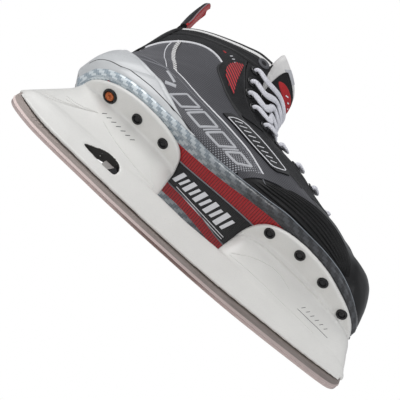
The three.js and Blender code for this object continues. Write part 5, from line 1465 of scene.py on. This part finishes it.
# ------------------------------------------------------------------ tendon guard
def build_guard():
    zs = [206.6, 213.5, 226, 239, 251, 258, 262]
    back = Pchip([196] + zs, [28.2, 28.2, 28.0, 26.6, 25.6, 25.3, 26.2, 28.6])
    thick = Pchip([196] + zs, [5.5, 6.2, 6.4, 6.2, 5.8, 5.2, 4.2, 2.4])
    half = Pchip([196, 206.6, 213.5, 226, 239, 251, 257, 260, 262], [11.4, 12.0, 12.7, 13.5, 13.5, 12.3, 10, 7.6, 4.2])
    z = np.concatenate([np.linspace(204.7, 250, 46), 250 + 12 * np.sin(np.linspace(0, math.pi / 2, 18))[1:]])
    n = 56
    a = np.linspace(0, 2 * math.pi, n, endpoint=False)
    V, U, MI = [], [], []
    for k, zz in enumerate(z):
        h, t, b = half(zz), thick(zz), back(zz)
        cy, cx = np.cos(a), np.sin(a)
        y = h * np.sign(cy) * np.abs(cy) ** .85
        q = y / h
        bow = 1.9 * q * q
        rib = .45 * np.cos(q * math.pi * 3.5) * (cx < 0) * np.clip((zz - 206) / 8, 0, 1) * np.clip((258 - zz) / 8, 0, 1)
        x = b + bow + t / 2 + t / 2 * np.sign(cx) * np.abs(cx) ** .8 + rib * .6
        V.append(np.stack([x, y, np.full(n, zz)], 1))
        U.append(np.stack([y, np.full(n, zz)], 1))
    V, U = np.concatenate(V), np.concatenate(U)
    F = grid_faces(len(z), n, closed_v=True)
    mi = []
    for i in range(len(z) - 1):
        for j in range(n):
            s = math.sin(a[j] + math.pi / n)
            mi.append(1 if s > -.12 else 0)
    F += [tuple(range(n))[::-1], tuple((len(z) - 1) * n + i for i in range(n))]
    mi += [0, 0]
    ob = new_obj("tendon_guard_soft", V, F, [MAT["black_leather"], MAT["red_cloth"]], mi, U, body="guard")
    fix_normals(ob, 50)
    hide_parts("tendon_guard")
    # grey piping round the edge, and a light streak down the back that is a painted highlight
    parts = []
    for sg in (-1, 1):
        zz = np.linspace(208, 261.2, 60)
        y = half(zz) * sg * 1.0
        x = back(zz) + 1.9 + thick(zz) / 2
        P = np.stack([x, y, zz], 1)
        N = np.tile([0, sg, 0], (len(P), 1)).astype(float)
        parts.append(ribbon(P, N, 1.2, .45, n=6, base=-.5))
    # painted highlight: a grey streak down the rounded back of the guard
    P = np.stack([back(np.linspace(214, 254, 40)) - .15, np.linspace(-3, -1, 40), np.linspace(214, 254, 40)], 1)
    parts.append(ribbon(P, np.tile([-1.0, 0, 0], (40, 1)), 2.2, .35, n=5))
    ribbon_obj("tendon_guard_piping_and_painted_highlight", parts, MAT["mark_dim"], body="guard")


# ------------------------------------------------------------------ eyelets and lace
def eyelet_frame(i, side):
    v, s = np.array([EV[i]]), np.array([ES[i]])
    return skin(v, s, side)[0], skin_normal(v, s, side)[0]


def build_eyelets():
    prof = [(2.30, -2.6), (2.30, .75), (2.45, 1.15), (2.9, 1.42), (3.5, 1.42), (4.05, 1.2), (4.35, .8), (4.4, .35), (2.95, .3), (2.95, -2.6)]
    for side, tag in SIDES:
        for i in range(10):
            o, n = eyelet_frame(i, side)
            pr = [(r * (1.22 if i == 0 and r > 2.6 else 1.0), h) for r, h in prof]
            V, F = lathe(pr + pr[:1], 32)
            e = new_obj(f"eyelet_ring_{tag}_{i + 1}", place(V, o, n), F, [MAT["rubber_grey"] if i == 0 else MAT["black_gloss"]])
            fix_normals(e, 40)
            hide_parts(f"eyelet_{tag}_{i + 1}")


BAR_U = [0, .815, .765, .715, .66, .595, .50, .385, .265, .135]


def lace_points():
    keys, ups = [], []
    frm = 1
    for i in range(9, 0, -1):
        a, b = frm, -frm
        u = BAR_U[i]
        W = float(T_HALF(u))

        def at(side, off):
            p, n = eyelet_frame(i, side)
            return p + n * off, n

        def over(side, q, off):
            P, n = tongue_at(u, side * q * W, off)
            return P, n

        def edge(side, d, o):
            v = np.array([EV[i]])
            s = S_FACE(v) + ds(v, d)
            return (skin(v, s, side) + skin_normal(v, s, side) * o)[0], skin_normal(v, s, side)[0]

        def rise(side):
            p, n = at(side, 3.3)
            q, _ = edge(side, -1.0, 3.1)
            return lerp(p, q, .16), n
        seq = [at(a, -4.9), at(a, -1.5), at(a, 1.7), rise(a), edge(a, -1.2, 3.1)]
        seq += [over(a, q, 3.1 if q > .6 else 2.6) for q in (.66, .42, .2)] + [over(a, 0, 2.5)]
        seq += [over(b, q, 3.1 if q > .6 else 2.6) for q in (.2, .42, .66)]
        seq += [edge(b, -1.2, 3.1), rise(b), at(b, 1.7), at(b, -1.5), at(b, -4.9)]
        for p, n in seq:
            keys.append(p)
            ups.append(n)
        frm = -frm
    return np.array(keys), np.array(ups)


def build_lace():
    K, U = lace_points()
    P = catmull(K, 9)
    N = catmull(U, 9)
    N /= np.linalg.norm(N, axis=1, keepdims=True) + 1e-9
    d = np.concatenate([[0], np.cumsum(np.linalg.norm(np.diff(P, axis=0), axis=1))])
    t = np.linspace(0, d[-1], int(d[-1] / 1.0))
    P = np.stack([np.interp(t, d, P[:, k]) for k in range(3)], 1)
    N = np.stack([np.interp(t, d, N[:, k]) for k in range(3)], 1)
    N /= np.linalg.norm(N, axis=1, keepdims=True) + 1e-9
    T = frames_along(P)
    # the lace is flat where it crosses the tongue and rolls up in the eyelets
    dist = np.min([np.linalg.norm(P - eyelet_frame(i, s)[0], axis=1) for i in range(1, 10) for s in (-1, 1)], axis=0)
    f = np.clip((dist - 2.6) / 4.0, 0, 1)
    f = f * f * (3 - 2 * f)
    w, h = lerp(1.75, 3.0, f), lerp(1.5, 1.15, f)
    V, UV = [], []
    seg = 16
    pn = np.cross(T[0], [.3, .9, .1])
    pn /= np.linalg.norm(pn)
    for i in range(len(P)):
        n = N[i] - T[i] * (N[i] @ T[i])
        ln = np.linalg.norm(n)
        n = n / ln if ln > .05 else pn
        if i and n @ pn < 0:
            n = -n
        n = lerp(pn, n, .45) if i else n
        n = n - T[i] * (n @ T[i])
        n /= np.linalg.norm(n)
        pn = n
        b = np.cross(T[i], n)
        for k in range(seg):
            a = 2 * math.pi * k / seg
            c, s = math.cos(a), math.sin(a)
            rr = 1 + .06 * math.sin(t[i] * 2.9 + (k % 2) * math.pi)
            V.append(P[i] + (n * c * h[i] + b * np.sign(s) * abs(s) ** .9 * w[i]) * rr)
            UV.append((t[i], s * w[i]))
    F = grid_faces(len(P), seg, closed_v=True)
    m = len(P) * seg
    F += [tuple(range(seg))[::-1], tuple((len(P) - 1) * seg + k for k in range(seg))]
    ob = new_obj("lace_woven", np.array(V), F, [MAT["lace_flecked"]], None, np.array(UV))
    fix_normals(ob, 70)
    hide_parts("lace")
    return d[-1]


# ------------------------------------------------------------------ trim on the boot sides (design mm in the side view)
TOP_PIPE = np.array([(26.5, 143), (29.5, 150), (34, 157.5), (40.0, 163.0), (47.5, 167.2), (56.7, 169.6), (64.7, 168.8), (72.5, 165.3), (79.9, 159.2)])
FACE_EDGE = np.array([(79.9, 159.2), (79.6, 150.9), (83.5, 144.8), (90.3, 138.6), (98, 132.4), (106.2, 128.6), (117.9, 126.3)])
ROPE = np.array([(43.6, 165.0), (45.6, 152.5), (50.9, 135.9), (56.1, 124.0), (60.9, 114.4)])
LINE = np.array([(60.9, 114.4), (63.5, 112.3), (75.0, 110.2), (86.9, 107.8), (99.4, 104.7), (113.3, 100.7), (125.5, 96.7), (137.8, 92.5), (149.4, 85.8), (160.7, 78.5)])
WEDGE = np.array([(147.5, 68.0), (149.3, 69.6), (154.2, 73.6), (159.9, 77.3), (168.8, 80.7), (178.8, 82.8), (188.8, 85.4), (200.5, 91.5), (199.5, 93.4), (194, 96.6), (188.7, 99.2), (184, 101.2)])
SEAM2 = np.array([(106.2, 128.6), (117.9, 124.5), (123, 122.2), (133, 118.0), (152, 111.0), (170.7, 104.9), (178.8, 103.1), (188.7, 99.2), (199.5, 93.4)])


def curve_at(poly, x):
    return np.interp(x, poly[:, 0], poly[:, 1])


def build_trim():
    M = MAT
    for side, tag in SIDES:
        v = np.linspace(7.15, V_COLLAR + .08, 26)
        s = S_QUART(v) - ds(v, .6)
        q = skin(v, s, side)[:, [0, 2]]
        s2 = np.linspace(float(S_QUART(np.array(V_COLLAR + .08))) - .02, .045, 26)
        c = skin(np.full(26, V_COLLAR + .08), s2, side)[:, [0, 2]]
        poly = np.vstack([TOP_PIPE, FACE_EDGE[1:], q, c])
        V, F, U = patch_on_skin(poly, side, .15, .45, 3.0)
        o = new_obj(f"ankle_cover_{tag}", V, F, [M["black_leather"]], None, U)
        fix_normals(o, 50)
        # hatched red inset
        tri = np.array([(84.6, 156), (84.0, 164), (86.5, 172), (91.8, 177.6), (94.2, 166), (97.3, 153), (103.0, 137.6), (94.5, 142.5), (88.5, 148.5)])
        V, F, U = patch_on_skin(tri, side, .6, .35, 2.5)
        o = new_obj(f"ankle_inset_{tag}", V, F, [M["red_hatch"]], None, U)
        fix_normals(o, 50)
        # wedge of the quarter that laps over the toe cap
        vv = np.linspace(13.9, 13.9, 20)
        ss = np.linspace(.80, .06, 20)
        back = skin(vv, ss, side)[:, [0, 2]]
        back = back[(back[:, 1] < 99) & (back[:, 1] > 69)]
        V, F, U = patch_on_skin(np.vstack([WEDGE, back]), side, .1, .7, 3.0)
        o = new_obj(f"quarter_wedge_{tag}", V, F, [M["charcoal_lines"]], None, U)
        fix_normals(o, 50)
        # badge: black plate, white rim, generic slanted dashes
        bad = np.array([(107.5, 109.4), (111.5, 116.6), (121.5, 121.6), (133, 117.2), (170.5, 103.4), (171.8, 100.8), (163.5, 92.0), (158, 91.6)])
        V, F, U = patch_on_skin(bad, side, .2, .8, 2.5)
        o = new_obj(f"side_badge_{tag}", V, F, [M["black_gloss"]], None, U)
        fix_normals(o, 40)
        cen = bad.mean(0)
        rim = smooth_path(np.vstack([cen + (bad - cen) * .86, (cen + (bad - cen) * .86)[:1]]), 1.0, 1)[:-1]
        P, N = on_skin(rim, side, .95)
        parts = [ribbon(P, N, 1.15, .35, n=5, closed=True)]
        a, b = np.array((118.5, 113.6)), np.array((160, 98.3))
        for k in range(9):
            c0 = lerp(a, b, (k + .35) / 9)
            dirn = (b - a) / np.linalg.norm(b - a)
            nn = np.array((-dirn[1], dirn[0]))
            L = 3.0 - .10 * k
            seg = np.array([c0 - nn * L - dirn * 1.6, c0 + nn * L + dirn * 1.6])
            P, N = on_skin(resample(seg, .8), side, .95)
            parts.append(ribbon(P, N, 1.35, .25, n=4))
        ribbon_obj(f"side_badge_marks_{tag}", parts, M["mark_white"])
        # piping
        parts = [skin_strip(TOP_PIPE, side, 1.5, .75, .45, 1.2, 2), skin_strip(LINE, side, 1.35, .6, .1, 1.4, 1),
                 skin_strip([(39.3, 161.0), (39.9, 150.5), (46.0, 130.6), (50.8, 120.2), (55.4, 111.3)], side, 1.0, .5, .1, 1.2, 1)]
        ribbon_obj(f"quarter_piping_{tag}", parts, M["mark_white"])
        parts = [skin_strip([(33.5, 104.5), (46.6, 107.4), (57.5, 110.4)], side, 1.5, .4, .1), skin_strip([(35.5, 113.1), (48.8, 111.4), (66, 106.0)], side, 1.2, .4, .1),
                 skin_strip(np.c_[LINE[1:, 0] + 2.5, LINE[1:, 1] - 4.2], side, .8, .35, .1)]
        ribbon_obj(f"quarter_lines_{tag}", parts, M["mark_dim"])
        # twisted rope: short slanted stitches along the ankle seam
        path = smooth_path(ROPE, 3.1, 1)
        T = frames_along(path)
        parts = []
        for p, t in zip(path, T):
            nn = np.array((-t[1], t[0]))
            seg = np.array([p - nn * 1.3 - t * 1.15, p + nn * 1.3 + t * 1.15])
            P, N = on_skin(resample(seg, .6), side, .1)
            if len(P) > 2:
                parts.append(ribbon(P, N, 1.5, .9, n=6, flat=2))
        ribbon_obj(f"rope_stitch_{tag}", parts, M["edge_white"])
        # dark binding along the edge of the black ankle cover
        parts = [skin_strip(FACE_EDGE, side, 2.0, 1.0, .4, 1.4, 1), skin_strip(SEAM2, side, 2.2, .9, .1, 1.4, 1)]
        v = np.linspace(V_COLLAR + .1, V_TOE - .1, 150)
        for dd in (1.6,):
            s = S_QUART(v) - ds(v, dd)
            P, N = skin(v, s, side), skin_normal(v, s, side)
            parts.append(ribbon(P + N * .1, N, 1.4, .6, n=6))
        ribbon_obj(f"facing_binding_{tag}", parts, M["black_soft"])
        # light band round the collar with dark piping on each side of it
        s = np.linspace(.012, .80, 120)
        parts, dark = [], []
        for vv, w, h, dst in ((.36, 4.2, .9, parts), (.06, 1.6, .9, dark), (.72, 1.3, .7, dark), (1.28, 1.4, .6, dark)):
            V0 = np.full(120, vv)
            P, N = skin(V0, s, side), skin_normal(V0, s, side)
            dst.append(ribbon(P + N * .25, N, w, h, n=7))
        ribbon_obj(f"collar_stripe_{tag}", parts, M["edge_white"])
        ribbon_obj(f"collar_piping_{tag}", dark, M["black_soft"])
        # generic marks low on the collar
        parts = []
        for k in range(4):
            c0 = np.array((79.5 + k * 2.9, 174.0 - k * 2.1))
            P, N = on_skin(resample(np.array([c0, c0 + (1.5, 2.6)]), .6), side, .6)
            parts.append(ribbon(P, N, 1.1, .25, n=4))
        ribbon_obj(f"collar_marks_{tag}", parts, M["mark_white"])
        P, N = on_skin(resample(np.array([(73.2, 176.6), (76.0, 175.2)]), .6), side, .6)
        ribbon_obj(f"collar_dot_{tag}", [ribbon(P, N, 2.0, .3, n=5)], M["red_cloth"])
        # generic shapes on the lower side: a row of slanted outlined blocks and bars between two guide lines
        low = np.array([(50, 97), (60, 90.5), (72, 85.0), (95, 80.0), (116, 76.8), (147, 72.5)])
        top = np.array([(50, 109.5), (60, 107.0), (75, 103.6), (92, 100.4), (124, 90.6), (158, 77.5)])

        def pt(x, k):
            return np.array((x, lerp(curve_at(low, x), curve_at(top, x), k)))
        parts = []

        def stroke(pts, w=2.4, closed=False):
            p = np.array(pts)
            p = smooth_path(np.vstack([p, p[:1]]) if closed else p, .9, 0)
            if closed:
                p = p[:-1]
            P, N = on_skin(p, side, .1)
            parts.append(ribbon(P, N, w, .4, n=6, flat=5, closed=closed))
        stroke([pt(58, .96), pt(68, .82)], 3.0)
        stroke([pt(63, .40), pt(70.5, .74)], 4.2)
        for x0, wd in ((72, 12), (90, 13), (109, 13), (128, 11)):
            stroke([pt(x0, .16), pt(x0 + wd, .14), pt(x0 + wd + 9, .86), pt(x0 + 8, .88)], 2.3, True)
        for x0 in (87.2, 106, 125):
            stroke([pt(x0, .14), pt(x0 + 8.6, .88)], 1.5)
        ribbon_obj(f"side_shapes_{tag}", parts, M["mark_grey"])
        # dark strip low on the heel cap above its pale lip, painted shade where the groove is
        x = np.linspace(16, 101, 90)
        z = SOLE(x) + TRAY_H(x) + np.interp(x, [16, 35, 60, 85, 101], [5.2, 5.6, 5.0, 3.0, 1.2])
        P, N = on_skin(np.c_[x, z], side, 2.2)
        w = np.interp(np.linspace(0, 1, len(P)), [0, .25, .75, 1], [.5, 1.3, 1.2, .5])
        ribbon_obj(f"heel_groove_{tag}", [ribbon(P, N, w, .22, n=5)], M["black_soft"])
        # thin grey strip along the top of the tray, a painted highlight where the bevel catches the light
        x = np.linspace(24, 262, 220)
        P, N = on_skin(np.c_[x, SOLE(x) + TRAY_H(x) * .92], side, 1.75)
        ribbon_obj(f"tray_painted_highlight_{tag}", [ribbon(P, N, .8, .3, n=5)], M["edge_grey"])
        # long raised ribs that fan out along the toe cap and meet towards the tip
        ra = np.array([(172, 82.0), (179.6, 84.2), (195.7, 88.6), (212.1, 91.5), (226.9, 89.0), (236.2, 83.0), (243.1, 75.0), (247.0, 69.0)])
        rb = np.array([(154, 70.6), (163, 70.2), (173, 69.6), (189.1, 68.4), (207.7, 67.0), (222.1, 65.9), (234.8, 65.4), (243.2, 66.0)])
        parts = []
        for k in range(8):
            f = k / 7
            q = lerp(rb, ra, f ** .9)
            a = smooth_path(q, 1.4, 2)
            P, N = on_skin(a, side, .1)
            L = np.linspace(0, 1, len(P))
            w = 2.3 * np.clip(np.minimum(L / .12, (1 - L) / .1), .15, 1)
            parts.append(ribbon(P, N, w, 1.15 * np.clip(np.minimum(L / .1, (1 - L) / .1), .1, 1), n=8))
        ribbon_obj(f"toe_ribs_{tag}", parts, M["black_toe"])
    # the area above the diagonal line is the plain lined cloth
    for side, tag in SIDES:
        me = bpy.data.objects[f"quarter_shell_{tag}"].data
        me.materials.append(M["charcoal_lines"])
        cen = np.empty(len(me.polygons) * 3)
        me.polygons.foreach_get("center", cen)
        cen = cen.reshape(-1, 3) * 1000 - SHIFT
        mi = np.empty(len(me.polygons), np.int32)
        me.polygons.foreach_get("material_index", mi)
        full = np.vstack([[(43.6, 400)], ROPE[:-1], LINE, [(175, 66)]])
        zline = np.where(cen[:, 0] < 60.9, -1, curve_at(LINE, cen[:, 0]))
        xr = np.interp(cen[:, 2], ROPE[::-1, 1], ROPE[::-1, 0])
        up = np.where(cen[:, 0] > 60.9, cen[:, 2] > zline, (cen[:, 0] > xr) & (cen[:, 2] > 114.4))
        mi[(mi == 0) & up] = 3
        seam = SEAM2[:, 1]
        dark = (cen[:, 0] > 112) & (cen[:, 2] > np.interp(cen[:, 0], SEAM2[:, 0], seam)) & ((mi == 0) | (mi == 3))
        mi[dark] = 2
        me.polygons.foreach_set("material_index", mi)


# ------------------------------------------------------------------ footbed, trigger spring
def build_inside():
    n = 70
    L0, L5 = boot_loop(1.6, n), boot_loop(5, n)
    T = 3.2
    hump = lambda x: 7.2 + 1.2 * np.exp(-(((x - 130) / 30) ** 2))
    P = [offset_loop(L0, -T - 3.2, lambda x: SOLE(x) + 3.0), offset_loop(L5, -T - 4.7, lambda x: SOLE(x) + 4.6), offset_loop(L5, -T - 5.0, lambda x: SOLE(x) + 5.6), offset_loop(L5, -T - 5.8, lambda x: SOLE(x) + hump(x) - .3),
         offset_loop(L5, -T - 7.2, lambda x: SOLE(x) + hump(x))]
    V, F = loft(P)
    ob = new_obj("footbed_pad", V, F, [MAT["lining_black"]], None, V[:, :2])
    fix_normals(ob, 50)
    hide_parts("footbed")


def build_spring():
    lo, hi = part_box("trigger_spring")
    a, b = np.array(lo) * 1000 - SHIFT, np.array(hi) * 1000 - SHIFT
    c, r = (a + b) / 2, (b[1] - a[1]) / 2 - .42
    t = np.linspace(0, 1, 300)
    # the end coils are closed, the others are evenly spaced
    turn = 2 * math.pi * 7 * t
    x = a[0] + .42 + (b[0] - a[0] - .84) * np.interp(t, [0, .1, .9, 1], [0, .03, .97, 1])
    P = np.stack([x, c[1] + r * np.sin(turn), c[2] + r * np.cos(turn)], 1)
    T = frames_along(P)
    radial = np.stack([0 * t, np.sin(turn), np.cos(turn)], 1)
    V, UV = [], []
    for i in range(len(P)):
        n = radial[i] - T[i] * (radial[i] @ T[i])
        n /= np.linalg.norm(n)
        q = np.cross(T[i], n)
        for k in range(10):
            g = 2 * math.pi * k / 10
            V.append(P[i] + (n * math.cos(g) + q * math.sin(g)) * .4)
            UV.append((t[i] * 60, k / 10))
    F = grid_faces(len(P), 10, closed_v=True)
    m = len(P) * 10
    F += [tuple(range(10))[::-1], tuple(m - 10 + k for k in range(10))]
    ob = new_obj("trigger_spring_coil", np.array(V), F, [MAT["bright_steel"]], None, np.array(UV))
    fix_normals(ob, 60)
    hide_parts("trigger_spring")
    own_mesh(ob)


build_shell()
build_toe_cap()
build_heel_cap()
build_lining()
build_outsole()
HOLDER = build_holder()
holder_details(HOLDER)
paint_window_shade(HOLDER)
build_runner()
build_rivets()
build_tongue()
build_guard()
build_eyelets()
LACE_LEN = build_lace()
build_spring()
build_inside()
build_trim()


# ------------------------------------------------------------------ carried-over CAD nodes
for node, mat in (("insole_board", "board_grey"), ("trigger", "black_gloss"), ("front_hook_pin", "bright_steel")):
    ob = bpy.data.objects[node]
    if not ob.material_slots:
        ob.data.materials.append(MAT[mat])
    for s in ob.material_slots:
        s.material = MAT[mat]

# ------------------------------------------------------------------ camera, floor and light
scene = bpy.context.scene
cam_data = bpy.data.cameras.new("camera")
cam = bpy.data.objects.new("camera", cam_data)
scene.collection.objects.link(cam)
R, U, B = (0.74451, -0.51271, 0.42760), (-0.66744, -0.58650, 0.45886), (0.015524, -0.62702, -0.77886)
cam.matrix_world = Matrix(((R[0], U[0], B[0], 0.00427), (R[1], U[1], B[1], -0.43157), (R[2], U[2], B[2], -0.46899), (0, 0, 0, 1)))
cam_data.sensor_width, cam_data.lens = 36.0, 88.83
cam_data.clip_start, cam_data.clip_end = .01, 50
cam_data.dof.use_dof = False
scene.camera = cam

# pale floor: seen from above it is a plain matt floor; from below it lets the view and the light through
m = Mat("floor_pale")
geo = m.N("NewGeometry")
lp = m.N("LightPath")
n = m.noise(m.obj(), .004, 2)
m.set(color=m.mix(n, (.84, .84, .85), (.90, .90, .90)), rough=.85)
tr = m.N("BsdfTransparent")
mx = m.N("MixShader", {0: m.math("MAXIMUM", geo.outputs["Backfacing"], lp.outputs["Is Shadow Ray"]), 1: m.b.outputs[0], 2: tr.outputs[0]})
m.t.links.new(mx.outputs[0], m.o.inputs[0])
me = bpy.data.meshes.new("floor")
S = 3.0
me.from_pydata([(-S, -S, -.0002), (S, -S, -.0002), (S, S, -.0002), (-S, S, -.0002)], [], [(0, 1, 2, 3)])
me.materials.append(m.m)
floor = bpy.data.objects.new("floor", me)
scene.collection.objects.link(floor)

w = bpy.data.worlds.new("studio")
scene.world = w
w.use_nodes = True
nt = w.node_tree
nt.nodes.clear()
out = nt.nodes.new("ShaderNodeOutputWorld")
bg1, bg2 = nt.nodes.new("ShaderNodeBackground"), nt.nodes.new("ShaderNodeBackground")
bg1.inputs[0].default_value, bg1.inputs[1].default_value = (.95, .965, 1, 1), .43
bg2.inputs[0].default_value, bg2.inputs[1].default_value = (1, 1, 1, 1), 1.0
lpw, mixw = nt.nodes.new("ShaderNodeLightPath"), nt.nodes.new("ShaderNodeMixShader")
nt.links.new(lpw.outputs["Is Camera Ray"], mixw.inputs[0])
nt.links.new(bg1.outputs[0], mixw.inputs[1])
nt.links.new(bg2.outputs[0], mixw.inputs[2])
nt.links.new(mixw.outputs[0], out.inputs[0])


def area(name, loc, target, size, power, color=(1, 1, 1)):
    d = bpy.data.lights.new(name, "AREA")
    d.shape, d.size, d.energy, d.color = "DISK", size, power, color
    ob = bpy.data.objects.new(name, d)
    ob.location = loc
    ob.rotation_euler = (Vector(target) - Vector(loc)).to_track_quat("-Z", "Y").to_euler()
    scene.collection.objects.link(ob)


area("key", (-.55, -1.0, .55), (0, 0, .1), .7, 6.0)
area("fill", (.9, -.9, -.1), (0, 0, .1), .9, 2.2, (.95, .97, 1))
area("low", (-.2, -.55, -.9), (0, 0, .05), .8, 2.6)
area("rim", (.3, .9, .8), (0, 0, .12), .6, 5)
scene.view_settings.view_transform = "Standard"
scene.view_settings.look = "None"
scene.view_settings.exposure = 0.0

print("LACE_MM", round(float(LACE_LEN), 1))
